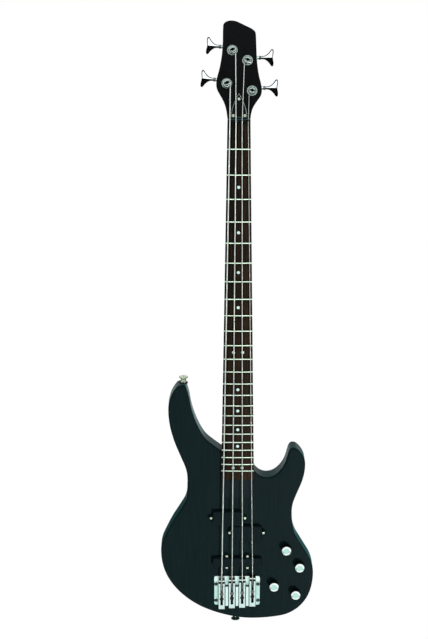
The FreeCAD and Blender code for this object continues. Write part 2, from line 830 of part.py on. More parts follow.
def string_path(name):
    """The edges of a string's middle line, and the direction in which its end enters the post's slot."""
    ball, crest, nut_spot = ball_point(name), crest_point(name), nut_point(name)
    reach, height = tuner_waist(name)
    turn = -tuner_side(name)
    axis = tuner_place(name)
    from_nut = head_frame.inverse().multVec(nut_spot)
    flat = Vector(axis.x - from_nut.x, 0, axis.z - from_nut.z)
    travel = math.atan2(flat.z, flat.x) - turn * math.asin(reach / flat.Length)
    start_angle = travel - turn * math.pi / 2

    def wound(quarter):
        angle = start_angle + turn * quarter * math.pi / 2
        radial = Vector(math.cos(angle), 0, math.sin(angle))
        climb = winding_climb(name) * quarter / 4
        return axis + radial * reach - Vector(0, height + climb, 0), radial

    first = wound(0)[0]
    meet = head_frame.multVec(first)
    set_out = (crest - ball).normalize()
    start = ball + set_out * (ball_radius + glue_gap)
    bend_in, bend_out = corner(start, crest, nut_spot, crest_bend)
    edges = [line(start, bend_in), arc(bend_in, set_out, bend_out)]
    run = (nut_spot - crest).normalize()
    turn_in, turn_out = corner(crest, nut_spot, meet, nut_bend)
    edges += [line(bend_out, turn_in), arc(turn_in, run, turn_out), line(turn_out, meet)]
    way = head_frame.inverse().Rotation.multVec((meet - nut_spot).normalize())
    slope = winding_climb(name) / (2 * math.pi * reach)
    local = []
    quarters = 4 * winding_turns
    here = first
    for quarter in range(1, quarters + 1):
        there, radial = wound(quarter)
        onward = Vector(-radial.z, 0, radial.x) * turn
        if quarter < quarters:
            onward = (onward - Vector(0, slope, 0)).normalize()
        local += biarc(here, way, there, onward)
        here, way = there, onward
    bend = string_diameters[name] / 2 + string_gap / 2
    inward = math.sqrt((reach - bend) ** 2 - bend ** 2)
    slot_angle = math.atan2(radial.z, radial.x) + turn * math.atan2(bend, inward)
    slot_way = Vector(math.cos(slot_angle), 0, math.sin(slot_angle))
    middle_line = Vector(axis.x, here.y, axis.z)
    entry = middle_line + slot_way * inward
    local += [arc(here, way, entry), line(entry, middle_line + slot_way * post_hole_radius)]
    for edge in local:
        edge.Placement = head_frame.multiply(edge.Placement)
    return edges + local, slot_angle


def least_gap(points, diameter):
    """The least clear distance between stretches of a line of points that lie over half a loop apart."""
    step = (points[1] - points[0]).Length
    apart = int(2 * math.pi * diameter / step)
    pairs = [(here, there) for index, here in enumerate(points) for there in points[index + apart:]]
    return min((here - there).Length for here, there in pairs) - diameter


def string_solid(name):
    edges, slot_angle = string_path(name)
    radius = string_diameters[name] / 2
    path = Part.Wire(edges)
    start = edges[0].Vertexes[0].Point
    section = Part.Wire(Part.makeCircle(radius, start, edges[0].tangentAt(edges[0].FirstParameter)))
    solid = path.makePipeShell([section], True, False)
    wound = Part.Wire(edges[5:])
    points = wound.discretize(Distance=radius / 2)
    gap = least_gap(points, 2 * radius)
    print("string", name, "length", round(path.Length, 1), "gap to itself", round(gap, 2))
    half = ball_length / 2
    ball = turned([(ball_bore, -half), (ball_radius, -half), (ball_radius, half), (ball_bore, half)],
                  ball_point(name), backward)
    return solid, ball, slot_angle


# Tuner post with its gear: a waist for the winding, a slot for the string's end
def tuner_post(name, slot_angle):
    axis = tuner_place(name)
    radius = string_diameters[name] / 2
    first = tuner_waist(name)[1]
    waist_start = washer_thickness + bush_head_height
    waist_end = first + winding_climb(name) * winding_turns + radius + string_gap
    top = waist_end + post_top_height
    rim = post_top_height / 4
    thick_end = -(gear_line - worm_radius - tooth_height - sliding_gap)
    stub_end = -(head_thickness + housing_depth - housing_wall / 2)
    stub = post_waist_radius / 2
    profile = [(0, stub_end), (stub, stub_end), (stub, thick_end), (post_radius, thick_end),
               (post_radius, waist_start), (post_waist_radius, waist_start + rim),
               (post_waist_radius, waist_end), (post_top_radius, waist_end + rim),
               (post_top_radius, top - rim), (post_top_radius - rim, top), (0, top)]
    post = turned(profile, axis, forward)
    slot_half = radius + string_gap
    slot_floor = first + winding_climb(name) * winding_turns - radius - string_gap
    slot_reach = 2 * post_top_radius
    slot = block((-slot_reach, slot_reach), (-slot_floor, -top - overrun), (-slot_half, slot_half))
    slot.rotate(Vector(0, 0, 0), Vector(0, 1, 0), -math.degrees(slot_angle))
    slot.translate(axis)
    hole = rod(axis - Vector(0, top + overrun, 0), axis - Vector(0, waist_start, 0), post_hole_radius)
    post = post.cut([slot, hole])
    wheel = gear_wheel(name).cut(rod(axis, axis + Vector(0, -stub_end + overrun, 0), stub + glue_gap))
    return [on_head(post), on_tuner(name, wheel)]


# Tuner housing: a cup behind the headstock, closed by a plate, with a boss for the key's shaft
housings = []
tuner_plates = []
bushes = []
washers = []
posts = {}
keys = {}
string_parts = {}
for name in string_names:
    axis = tuner_place(name)
    side = tuner_side(name)
    plate_back = head_thickness + tuner_plate_thickness
    back = head_thickness + housing_depth
    centre = axis + Vector(0, 0, shaft_offset / 2)
    half_w, half_l = housing_width / 2, housing_length / 2
    footprint = ((centre.x - half_w, centre.x + half_w), (centre.z - half_l, centre.z + half_l))
    ear_spot = axis + Vector(0, 0, centre.z - axis.z - half_l - housing_ear_reach)
    housing = plate(rectangle(*footprint, housing_radius), plate_back, back)
    back_rims = [edge for edge in housing.Edges if edge.BoundBox.YMin > back - glue_gap]
    housing = housing.makeFillet(housing_radius / 2, back_rims)
    ear_front = Vector(ear_spot.x, plate_back, ear_spot.z)
    ear_back = ear_front + Vector(0, housing_ear_thickness, 0)
    ear = rod(ear_front, ear_back, housing_ear_radius)
    ear_wide = (ear_spot.x - housing_ear_radius, ear_spot.x + housing_ear_radius)
    ear = ear.fuse(block(ear_wide, (ear_front.y, ear_back.y),
                         (ear_spot.z, ear_spot.z + housing_ear_reach + housing_radius)))
    shaft_start = axis + Vector(0, gear_line, shaft_offset)
    out = Vector(side, 0, 0)
    boss = rod(shaft_start, shaft_start + out * (half_w + shaft_boss_length), shaft_boss_radius)
    hollow = [(low + housing_wall, high - housing_wall) for low, high in footprint]
    inner = plate(rectangle(*hollow, housing_radius / 2), plate_back - overrun, back - housing_wall)
    bearing = rod(shaft_start - out * (half_w - housing_wall / 2 + running_gap),
                  shaft_start + out * (half_w + shaft_boss_length + overrun),
                  worm_shaft_radius + running_gap)
    stub_back = axis + Vector(0, back - housing_wall / 2 + running_gap, 0)
    stub_bearing = rod(axis, stub_back, post_waist_radius / 2 + running_gap)
    ear_screw = Vector(ear_spot.x, ear_back.y, ear_spot.z)
    ear_space = screw_space(trim_screw, ear_screw, forward)
    housing = housing.fuse([ear, boss]).cut([inner, bearing, stub_bearing, ear_space]).removeSplitter()
    housings.append(on_tuner(name, housing))
    trim_screws.append(on_tuner(name, screw(trim_screw, ear_screw, forward)))
    plate_tall = (ear_spot.z - housing_ear_radius, footprint[1][1])
    ear_plate = plate(rectangle(footprint[0], plate_tall, housing_radius), head_thickness, plate_back)
    above, below = axis - Vector(0, overrun, 0), axis + Vector(0, back, 0)
    post_space = rod(above, below, post_radius + running_gap)
    tuner_plates.append(on_tuner(name, ear_plate.cut([post_space, ear_space])))
    bush_top = washer_thickness + bush_head_height
    bush_seat = axis - Vector(0, washer_thickness, 0)
    bush = hexagon(bush_head_flats, bush_head_height, bush_seat, forward)
    crown_radius = bush_head_flats / 2
    crown = [(0, -overrun), (crown_radius + bush_head_height, -overrun), (crown_radius, bush_top),
             (0, bush_top)]
    bush = bush.common(turned(crown, axis, forward))
    bush = bush.fuse(rod(bush_seat, axis + Vector(0, head_thickness, 0), bush_radius))
    bushes.append(on_head(bush.cut(post_space).removeSplitter()))
    washer_hole = bush_radius + screw_gap
    half_washer = washer_thickness / 2
    ring = [(washer_hole, 0), (washer_radius, 0), (washer_radius, half_washer),
            (washer_radius - half_washer, washer_thickness), (washer_hole, washer_thickness)]
    washers.append(on_head(turned(ring, axis, forward)))
    neck_cuts.append(on_head(rod(above, below, washer_hole)))
    neck_cuts.append(on_tuner(name, ear_space))
    wire, ball, slot_angle = string_solid(name)
    string_parts[name] = [wire, ball]
    posts[name] = tuner_post(name, slot_angle)
    keys[name] = tuner_key(name)
    edges = string_path(name)[0]
    groove = string_diameters[name] / 2 + screw_gap
    down_way = edges[4].tangentAt(edges[4].FirstParameter)
    nut_spot = nut_point(name)
    nut = nut.cut(channel(nut_spot - down_way * overrun, nut_spot + down_way * 2 * overrun, groove))

# Bridge plate with ribs between the saddles
half_bridge = bridge_width / 2
bridge_edges = rectangle((-half_bridge, half_bridge), (-bridge_back, bridge_front), bridge_corner)
bridge = plate(bridge_edges, bridge_top, front)
for gap in range(len(string_names) - 1):
    x = (gap - (len(string_names) - 2) / 2) * bridge_pitch
    bridge = bridge.fuse(block((x - rib_width / 2, x + rib_width / 2), (bridge_top - rib_height, bridge_top),
                               (-bridge_back, -rib_front)))
bridge = bridge.removeSplitter()
bridge_screws = []
for z in bridge_screw_lines:
    for side in (-1, 1):
        seat = Vector(side * (half_bridge - bridge_screw_inset), bridge_top, -z)
        space = screw_space(bridge_screw, seat, backward)
        bridge = bridge.cut(space)
        body_cuts.append(space)
        bridge_screws.append(screw(bridge_screw, seat, backward))


# Saddle: a long block with a crest for the string, a keyhole slot for its ball, and three set screws
def set_screw(base, top, radius):
    """A headless screw with a hexagonal socket, from base up to top."""
    deep = radius
    socket = hexagon(2 * radius * socket_share, deep + overrun, top + backward * deep, forward)
    return rod(base, top, radius).cut(socket)


def saddle(name):
    crest = crest_point(name)
    radius = string_diameters[name] / 2
    base = bridge_top - sliding_gap
    bearing = crest.y + radius
    head_top = bearing - saddle_notch
    body_top = base - saddle_height
    wide = (crest.x - saddle_width / 2, crest.x + saddle_width / 2)
    over = head_top - overrun

    def along(ahead, behind):
        return crest.z + ahead, crest.z - behind

    crest_half = crest_width / 2
    solid = block(wide, (base, head_top), along(crest_half, saddle_head))
    solid = solid.fuse(block(wide, (base, body_top), along(crest_half, saddle_tail))).removeSplitter()
    slot_floor = base - saddle_floor
    groove_floor = head_top + groove_depth
    slot_wide = (crest.x - string_slot_width / 2, crest.x + string_slot_width / 2)
    keyhole = Vector(crest.x, 0, crest.z - ball_set_back)
    lock = Vector(crest.x, 0, crest.z - lock_set_back)
    set_out = (ball_point(name) - crest).normalize()
    run = (nut_point(name) - crest).normalize()
    notch = radius + glue_gap
    cuts = [block(wide, (over, groove_floor), along(-crest_half, crest_half + rear_groove)),
            block(slot_wide, (over, slot_floor), along(-crest_half, string_slot_end)),
            rod(keyhole + forward * -over, keyhole + forward * -slot_floor, ball_radius + string_gap),
            rod(lock + forward * -over, lock + forward * -bridge_top, lock_screw_radius + string_gap),
            channel(crest - run * glue_gap, crest + run * overrun, notch),
            channel(crest + set_out * overrun, crest - set_out * glue_gap, notch)]
    foot = bridge_top - running_gap
    lock_foot = Vector(lock.x, foot, lock.z)
    lock_top = Vector(lock.x, body_top + lock_screw_sunk, lock.z)
    screws = [set_screw(lock_foot, lock_top, lock_screw_radius)]
    screw_line = crest.z - crest_half - rear_groove / 2
    for side in (-1, 1):
        spot = Vector(crest.x + side * height_screw_spread / 2, foot, screw_line)
        top = Vector(spot.x, groove_floor - height_screw_radius, screw_line)
        screws.append(set_screw(spot, top, height_screw_radius))
        cuts.append(rod(spot + backward * overrun, top + forward * overrun, height_screw_radius + screw_gap))
    return solid.cut(cuts), screws


# Pickups: a hollow cover with ears, a coil with its magnets, and foam below
pickup_screws = []
coils = []
magnets = []
foams = []


def pickup(x, z, length, width, screw_spots, names):
    """One pickup about (x, z): its cover, and its coil, magnets, foam and screws in their lists."""
    top = front - pickup_rise
    wide, tall = (x - length / 2, x + length / 2), (z - width / 2, z + width / 2)
    cover = plate(rectangle(wide, tall, pickup_corner), top, front + pickup_sink)
    rims = [edge for edge in cover.Edges if edge.BoundBox.YMax < top + glue_gap]
    cover = cover.makeFillet(pickup_edge_radius, rims)
    ear_top, ear_base = front - ear_rise, front - ear_lift
    inner = [(low + pickup_wall, high - pickup_wall) for low, high in (wide, tall)]
    base = front + pickup_sink
    hollow = plate(rectangle(*inner, pickup_corner - pickup_wall), top + pickup_wall, base + overrun)
    ears = []
    for u, v in screw_spots:
        spot = Vector(u, ear_top, v)
        near = Vector(min(max(u, wide[0] + pickup_wall), wide[1] - pickup_wall), ear_top,
                      min(max(v, tall[0] + pickup_wall), tall[1] - pickup_wall))
        ears.append(rod(spot, Vector(u, ear_base, v), ear_radius))
        if u == near.x:
            ears.append(block((u - ear_radius, u + ear_radius), (ear_top, ear_base), (v, near.z)))
        else:
            ears.append(block((u, near.x), (ear_top, ear_base), (v - ear_radius, v + ear_radius)))
    cover = cover.fuse(ears).removeSplitter().cut(hollow)
    for u, v in screw_spots:
        spot = Vector(u, ear_top, v)
        space = screw_space(pickup_screw, spot, backward)
        cover = cover.cut(space)
        body_cuts.append(space)
        pickup_screws.append(screw(pickup_screw, spot, backward))
    hole = [(low - pickup_gap, high + pickup_gap) for low, high in (wide, tall)]
    floor = front + pickup_cavity_depth
    body_cuts.append(plate(rectangle(*hole, pickup_corner + pickup_gap), front - overrun, floor))
    half_coil = (inner[1][1] - inner[1][0]) / 2 * coil_width_share
    reach = (inner[0][1] - inner[0][0]) / 2 - coil_play
    coil_top = top + pickup_wall + coil_play
    coil_base = coil_top + coil_height
    coil_tall = (z - half_coil, z + half_coil)
    coil = plate(rectangle((x - reach, x + reach), coil_tall, half_coil - glue_gap), coil_top, coil_base)
    for name in names:
        for side in (-1, 1):
            u = string_at(name, z).x + side * magnet_spread / 2
            foot, tip = Vector(u, coil_base, z), Vector(u, coil_top, z)
            magnets.append(rod(foot, tip, magnet_radius))
            magnet_space = rod(foot + backward * overrun, tip + forward * overrun, magnet_radius + glue_gap)
            coil = coil.cut(magnet_space)
    coils.append(coil)
    foams.append(block((wide[0] + foam_play, wide[1] - foam_play), (coil_base, floor), coil_tall))
    return cover


split_covers = []
for side, names in ((-1, string_names[:2]), (1, string_names[2:])):
    x, z = side * split_offset / 2, split_line - side * split_step / 2
    spots = [(x - split_screw_spread / 2, z), (x + split_screw_spread / 2, z)]
    split_covers.append(pickup(x, z, split_length, split_width, spots, names))
reach = straight_width / 2 + straight_screw_reach
spots = [(u * straight_screw_spread / 2, straight_line + v * reach) for u in (-1, 1) for v in (-1, 1)]
straight_cover = pickup(0, straight_line, straight_length, straight_width, spots, string_names)

# Controls: pots under the front, knobs above it, circuit board and battery in a cavity from the back
knob_places = [(x * half_body, z * body_length - tail_length) for x, z in knob_place_shares]
cavity_floor = front + pot_wall
cover_seat = -cover_thickness - cover_sunk
body_cuts.append(plate(hull(knob_places, cavity_margin), cavity_floor, overrun))
body_cuts.append(plate(hull(knob_places, cavity_margin + cavity_ledge), cover_seat, overrun))
pots = []
pot_nuts = []
knobs = []
for x, z in knob_places:
    spot = Vector(x, 0, z)

    def at(y):
        return spot + Vector(0, y, 0)

    pot_back = cavity_floor + pot_depth
    bush_end = front - pot_bush_reach
    bush_hole = rod(at(bush_end - overrun), at(cavity_floor + pot_shaft_sunk),
                    pot_shaft_radius + running_gap)
    case = rod(at(cavity_floor), at(pot_back), pot_radius)
    case = case.fuse(rod(at(bush_end), at(cavity_floor), pot_bush_radius))
    pots.append(case.cut(bush_hole).removeSplitter())
    body_cuts.append(rod(at(front - overrun), at(cavity_floor + overrun), pot_bush_radius + screw_gap))
    nut_blank = hexagon(pot_nut_flats, pot_nut_height, at(front), forward)
    nut_hole = rod(at(front + overrun), at(front - overrun), pot_bush_radius + screw_gap)
    pot_nuts.append(nut_blank.cut(nut_hole))
    shaft_top = knob_lift + knob_height - knob_cap
    hollow_top = knob_lift + knob_hollow_depth
    knob_top = knob_lift + knob_height
    shaft = rod(at(cavity_floor + pot_shaft_sunk - running_gap), at(front - shaft_top), pot_shaft_radius)
    bore = pot_shaft_radius + glue_gap
    bore_top = shaft_top + glue_gap
    inside = knob_radius - knob_skirt
    profile = [(inside, knob_lift), (knob_radius, knob_lift), (knob_radius, knob_top - knob_bevel_height),
               (knob_radius - knob_bevel_width, knob_top), (0, knob_top), (0, bore_top), (bore, bore_top),
               (bore, hollow_top), (inside, hollow_top)]
    knobs.append([turned(profile, at(front), forward), shaft])
circuit_face = cavity_floor + pot_depth + glue_gap
circuit_back = circuit_face + circuit_thickness
circuit_board = plate(hull(knob_places, board_margin), circuit_face, circuit_back)
mean_x = sum(x for x, z in knob_places) / len(knob_places)
mean_z = sum(z for x, z in knob_places) / len(knob_places)
battery_wide = (mean_x - battery_width / 2, mean_x + battery_width / 2)
battery_tall = (mean_z - battery_length / 2, mean_z + battery_length / 2)
battery_face = circuit_back + glue_gap
battery_back = battery_face + battery_depth
battery = plate(rectangle(battery_wide, battery_tall, battery_edge), battery_face, battery_back)
for side in (-1, 1):
    stud = Vector(mean_x + side * battery_width / 4, battery_face + battery_depth / 2, battery_tall[1])
    battery = battery.fuse(rod(stud, stud + up * battery_stud_height, battery_stud_radius))

# Control cover in its recess, flush just below the back
control_cover = plate(hull(knob_places, cavity_margin + cavity_ledge - screw_gap), cover_seat, -cover_sunk)
for x, z in knob_places:
    way = Vector(x - mean_x, 0, z - mean_z).normalize()
    seat = Vector(x, -cover_sunk, z) + way * (cavity_margin + cavity_ledge / 2)
    space = screw_space(trim_screw, seat, forward)
    control_cover = control_cover.cut(space)
    body_cuts.append(space)
    trim_screws.append(screw(trim_screw, seat, forward))

# Output jack: a barrel in the tail, its mouth downwards
jack_base = Vector(jack_place, middle, -tail_length + jack_seat)
down = Vector(0, 0, -1)
mouth = jack_base + down * (jack_nut_height + jack_nut_height / 3)
barrel_end = mouth + up * jack_length
plug_space = rod(mouth + down * overrun, mouth + up * jack_bore_length, jack_bore)
jack = rod(mouth, barrel_end, jack_radius).cut(plug_space)
for side in (-1, 1):
    tag_x = jack_place + side * jack_radius / 2
    jack = jack.fuse(block((tag_x - jack_tag_width / 2, tag_x + jack_tag_width / 2),
                           (middle - jack_tag_thickness / 2, middle + jack_tag_thickness / 2),
                           (barrel_end.z, barrel_end.z + jack_tag_length)))
jack_nut = hexagon(jack_nut_flats, jack_nut_height, jack_base, down)
jack_nut = jack_nut.cut(rod(jack_base + up * overrun, jack_base + down * overrun, jack_radius + screw_gap))
nearest_knob = min(knob_places, key=lambda place: abs(place[0] - jack_place))
jack_reach = nearest_knob[1] - jack_base.z
body_cuts.append(rod(jack_base + down * overrun, jack_base + up * jack_reach, jack_radius + screw_gap))
body_cuts.append(rod(jack_base + down * 2 * overrun, jack_base, jack_seat_radius))

# Strap buttons on the bass horn and on the tail
horn_tip = max(body_points, key=lambda point: point[1])
strap_buttons = []
strap_felts = []
strap_screws = []
for base, way in ((Vector(horn_tip[0], middle, horn_tip[1] - button_seat), up),
                  (Vector(tail_button_place, middle, -tail_length + 2 * button_seat), down)):
    foot = base + way * felt_thickness
    felt = turned([(strap_screw[1] + screw_gap, 0), (felt_radius, 0), (felt_radius, felt_thickness),
                   (strap_screw[1] + screw_gap, felt_thickness)], base, way)
    rim = button_height / 6
    profile = [(0, 0), (button_base, 0), (button_base, rim), (button_waist, 2 * rim),
               (button_waist, 3 * rim), (button_radius, 5 * rim), (button_radius, button_height - rim / 2),
               (button_radius - rim / 2, button_height), (0, button_height)]
    top = foot + way * button_height
    space = screw_space(strap_screw, top, way * -1)
    strap_felts.append(felt)
    strap_buttons.append(turned(profile, foot, way).cut(space))
    strap_screws.append(screw(strap_screw, top, way * -1))
    body_cuts += [space, rod(base, base + way * 2 * overrun, felt_radius + screw_gap)]

# Finished wood
body = body.cut(body_cuts)
neck = neck.cut(neck_cuts)

save("body", [body])
save("neck", [neck])
save("fretboard", [fretboard])
save("frets", frets)
save("nut", [nut])
save("position_dots", position_dots)
save("side_dots", side_dots)
save("truss_rod", [truss_rod])
save("truss_rod_nut", [rod_nut])
save("truss_rod_cover", [rod_cover])
save("trim_screws", trim_screws)
save("neck_screws", neck_screws)
save("neck_ferrules", neck_ferrules)
save("tuner_housings", housings)
save("tuner_plates", tuner_plates)
save("tuner_bushes", bushes)
save("tuner_washers", washers)
for name in string_names:
    saddle_block, saddle_screws = saddle(name)
    save("string_" + name, string_parts[name])
    save("tuner_key_" + name, [keys[name]])
    save("tuner_post_" + name, posts[name])
    save("saddle_" + name, [saddle_block])
    save("saddle_screws_" + name, saddle_screws)
save("bridge_plate", [bridge])
save("bridge_screws", bridge_screws)
save("split_pickup_covers", split_covers)
save("straight_pickup_cover", [straight_cover])
save("pickup_coils", coils)
save("pickup_magnets", magnets)
save("pickup_foam", foams)
save("pickup_screws", pickup_screws)
for name, pieces in zip(knob_names, knobs):
    save(name, pieces)
save("pots", pots)
save("pot_nuts", pot_nuts)
save("circuit_board", [circuit_board])
save("battery", [battery])
save("control_cover", [control_cover])
save("output_jack", [jack])
save("jack_nut", [jack_nut])
save("strap_buttons", strap_buttons)
save("strap_felts", strap_felts)
save("strap_screws", strap_screws)
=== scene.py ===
import math

import bpy
from mathutils import Matrix, Vector


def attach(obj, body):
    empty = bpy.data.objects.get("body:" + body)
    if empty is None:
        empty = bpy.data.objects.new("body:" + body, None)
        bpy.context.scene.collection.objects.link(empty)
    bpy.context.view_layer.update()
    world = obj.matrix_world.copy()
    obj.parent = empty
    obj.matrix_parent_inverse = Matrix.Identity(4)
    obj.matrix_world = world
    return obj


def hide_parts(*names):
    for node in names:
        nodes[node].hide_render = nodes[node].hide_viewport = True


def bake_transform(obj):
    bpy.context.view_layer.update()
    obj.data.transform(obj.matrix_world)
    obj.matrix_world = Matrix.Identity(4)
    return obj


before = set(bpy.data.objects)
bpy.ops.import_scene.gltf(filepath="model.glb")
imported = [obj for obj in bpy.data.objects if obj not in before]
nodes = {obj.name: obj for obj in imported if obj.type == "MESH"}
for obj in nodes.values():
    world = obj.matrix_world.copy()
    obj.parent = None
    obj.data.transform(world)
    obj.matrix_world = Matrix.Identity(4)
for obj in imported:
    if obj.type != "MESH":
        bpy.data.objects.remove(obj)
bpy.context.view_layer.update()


# Body: one plank of open-grained wood, cut to a double-horned outline and rounded along its edges.
# It is sprayed satin black, thinly, so that the grain still shows as fine lines up the body.
def screen_colour(red, green, blue):
    """A full colour from its 0 to 255 screen values."""
    shares = [part / 255 for part in (red, green, blue)]
    return [((share + 0.055) / 1.055) ** 2.4 if share > 0.04045 else share / 12.92 for share in shares] + [1]


def shader_group(name, inputs, outputs):
    """An empty shader node group with named sockets, and its input and output nodes."""
    group = bpy.data.node_groups.new(name, "ShaderNodeTree")
    for label, kind in inputs:
        group.interface.new_socket(name=label, in_out="INPUT", socket_type="NodeSocket" + kind)
    for label, kind in outputs:
        group.interface.new_socket(name=label, in_out="OUTPUT", socket_type="NodeSocket" + kind)
    return group, group.nodes.new("NodeGroupInput"), group.nodes.new("NodeGroupOutput")


def wood_grain_group():
    """Fibres that run up the wood: a streaked colour, a streaked gloss and the relief of the pores."""
    group, given, result = shader_group(
        "wood_grain",
        [("Ground", "Color"), ("Streak", "Color"), ("Fibre Scale", "Float"),
         ("Low Gloss", "Float"), ("High Gloss", "Float"), ("Pore Depth", "Float")],
        [("Colour", "Color"), ("Roughness", "Float"), ("Normal", "Vector")])
    place = group.nodes.new("ShaderNodeTexCoord")
    stretch = group.nodes.new("ShaderNodeMapping")
    stretch.inputs["Scale"].default_value = (1, 1, 0.035)
    fibres = group.nodes.new("ShaderNodeTexNoise")
    fibres.inputs["Detail"].default_value = 6
    fibres.inputs["Roughness"].default_value = 0.62
    fibres.inputs["Distortion"].default_value = 0.25
    contrast = group.nodes.new("ShaderNodeMapRange")
    contrast.inputs["From Min"].default_value = 0.36
    contrast.inputs["From Max"].default_value = 0.66
    gloss = group.nodes.new("ShaderNodeMapRange")
    tint = group.nodes.new("ShaderNodeMix")
    tint.data_type = "RGBA"
    pores = group.nodes.new("ShaderNodeBump")
    link = group.links.new
    link(place.outputs["Object"], stretch.inputs["Vector"])
    link(stretch.outputs["Vector"], fibres.inputs["Vector"])
    link(given.outputs["Fibre Scale"], fibres.inputs["Scale"])
    link(fibres.outputs["Fac"], contrast.inputs["Value"])
    link(contrast.outputs["Result"], tint.inputs["Factor"])
    link(given.outputs["Ground"], tint.inputs["A"])
    link(given.outputs["Streak"], tint.inputs["B"])
    link(contrast.outputs["Result"], gloss.inputs["Value"])
    link(given.outputs["Low Gloss"], gloss.inputs["To Min"])
    link(given.outputs["High Gloss"], gloss.inputs["To Max"])
    link(contrast.outputs["Result"], pores.inputs["Height"])
    link(given.outputs["Pore Depth"], pores.inputs["Distance"])
    link(tint.outputs["Result"], result.inputs["Colour"])
    link(gloss.outputs["Result"], result.inputs["Roughness"])
    link(pores.outputs["Normal"], result.inputs["Normal"])
    return group


def grained(name, ground, streak, fibre_scale, gloss, pore_depth, shine):
    """A wooden finish: ground and streak are screen colours, gloss its lowest and highest roughness."""
    material = bpy.data.materials.new(name)
    material.use_nodes = True
    tree = material.node_tree
    shader = tree.nodes["Principled BSDF"]
    shader.inputs["Specular IOR Level"].default_value = shine
    grain = tree.nodes.new("ShaderNodeGroup")
    grain.node_tree = wood_grain
    grain.inputs["Ground"].default_value = screen_colour(*ground)
    grain.inputs["Streak"].default_value = screen_colour(*streak)
    grain.inputs["Fibre Scale"].default_value = fibre_scale
    grain.inputs["Low Gloss"].default_value, grain.inputs["High Gloss"].default_value = gloss
    grain.inputs["Pore Depth"].default_value = pore_depth
    tree.links.new(grain.outputs["Colour"], shader.inputs["Base Color"])
    tree.links.new(grain.outputs["Roughness"], shader.inputs["Roughness"])
    tree.links.new(grain.outputs["Normal"], shader.inputs["Normal"])
    return material


def dress(material, *names):
    """Puts a finish on solids of the frame."""
    for name in names:
        nodes[name].data.materials.clear()
        nodes[name].data.materials.append(material)


def second_tone_group(name, source, output):
    """A second colour where what source says, counted along Way, passes from Low to High."""
    group, given, result = shader_group(
        name,
        [("Colour", "Color"), ("Tone", "Color"), ("Way", "Vector"), ("Low", "Float"), ("High", "Float")],
        [("Colour", "Color")])
    known = group.nodes.new(source)
    along = group.nodes.new("ShaderNodeVectorMath")
    along.operation = "DOT_PRODUCT"
    passed = group.nodes.new("ShaderNodeMapRange")
    layers = group.nodes.new("ShaderNodeMix")
    layers.data_type = "RGBA"
    link = group.links.new
    link(known.outputs[output], along.inputs[0])
    link(given.outputs["Way"], along.inputs[1])
    link(along.outputs["Value"], passed.inputs["Value"])
    link(given.outputs["Low"], passed.inputs["From Min"])
    link(given.outputs["High"], passed.inputs["From Max"])
    link(passed.outputs["Result"], layers.inputs["Factor"])
    link(given.outputs["Colour"], layers.inputs["A"])
    link(given.outputs["Tone"], layers.inputs["B"])
    link(layers.outputs["Result"], result.inputs["Colour"])
    return group


def painted_corner_shade_group():
    """Painted shade in corners, from walls within Reach: full shade where a place is free by Shut, none from
    Open up.
    """
    group, given, result = shader_group(
        "painted_corner_shade",
        [("Colour", "Color"), ("Soot", "Color"), ("Reach", "Float"), ("Shut", "Float"), ("Open", "Float")],
        [("Colour", "Color")])
    group.interface.items_tree["Shut"].default_value = 0.35
    group.interface.items_tree["Open"].default_value = 0.8
    sky = group.nodes.new("ShaderNodeAmbientOcclusion")
    open_share = group.nodes.new("ShaderNodeMapRange")
    layers = group.nodes.new("ShaderNodeMix")
    layers.data_type = "RGBA"
    link = group.links.new
    link(given.outputs["Reach"], sky.inputs["Distance"])
    link(sky.outputs["AO"], open_share.inputs["Value"])
    link(given.outputs["Shut"], open_share.inputs["From Min"])
    link(given.outputs["Open"], open_share.inputs["From Max"])
    link(open_share.outputs["Result"], layers.inputs["Factor"])
    link(given.outputs["Soot"], layers.inputs["A"])
    link(given.outputs["Colour"], layers.inputs["B"])
    link(layers.outputs["Result"], result.inputs["Colour"])
    return group


def lay_over(material, group, **settings):
    """Puts one more effect between a finish's colour and its shader."""
    tree = material.node_tree
    base = tree.nodes["Principled BSDF"].inputs["Base Color"]
    layer = tree.nodes.new("ShaderNodeGroup")
    layer.node_tree = group
    for label, value in settings.items():
        layer.inputs[label].default_value = value
    tree.links.new(base.links[0].from_socket, layer.inputs["Colour"])
    tree.links.new(layer.outputs["Colour"], base)


forward = (0, -1, 0)
corner_reach = 0.004
wood_grain = wood_grain_group()
toned_by_facing = second_tone_group("toned_by_facing", "ShaderNodeNewGeometry", "True Normal")
painted_corner_shade = painted_corner_shade_group()
satin_black = grained("satin_black_lacquer", (12, 25, 26), (17, 31, 33),
                      fibre_scale=420, gloss=(0.36, 0.48), pore_depth=0.00004, shine=0.015)
lacquer_tree = satin_black.node_tree
lacquer = lacquer_tree.nodes["Principled BSDF"]
lacquer.inputs["Coat Roughness"].default_value = 0.22
lacquer.inputs["Sheen Weight"].default_value = 0.22
lacquer.inputs["Sheen Roughness"].default_value = 0.3
lacquer.inputs["Sheen Tint"].default_value = screen_colour(120, 190, 190)
low_angle = lacquer_tree.nodes.new("ShaderNodeLayerWeight")
sheen = lacquer_tree.nodes.new("ShaderNodeMapRange")
sheen.inputs["From Min"].default_value = 0.55
sheen.inputs["From Max"].default_value = 0.8
sheen.inputs["To Max"].default_value = 0.16
lacquer_tree.links.new(low_angle.outputs["Facing"], sheen.inputs["Value"])
lacquer_tree.links.new(sheen.outputs["Result"], lacquer.inputs["Coat Weight"])
# Faces turned from the front are painted a paler teal as a painted sheen, and corners are painted darker as
# painted shade.
lay_over(satin_black, toned_by_facing, Tone=screen_colour(20, 56, 58), Way=forward, Low=0.6, High=0.2)
lay_over(satin_black, painted_corner_shade, Soot=screen_colour(3, 6, 7), Reach=corner_reach)
dress(satin_black, "body")


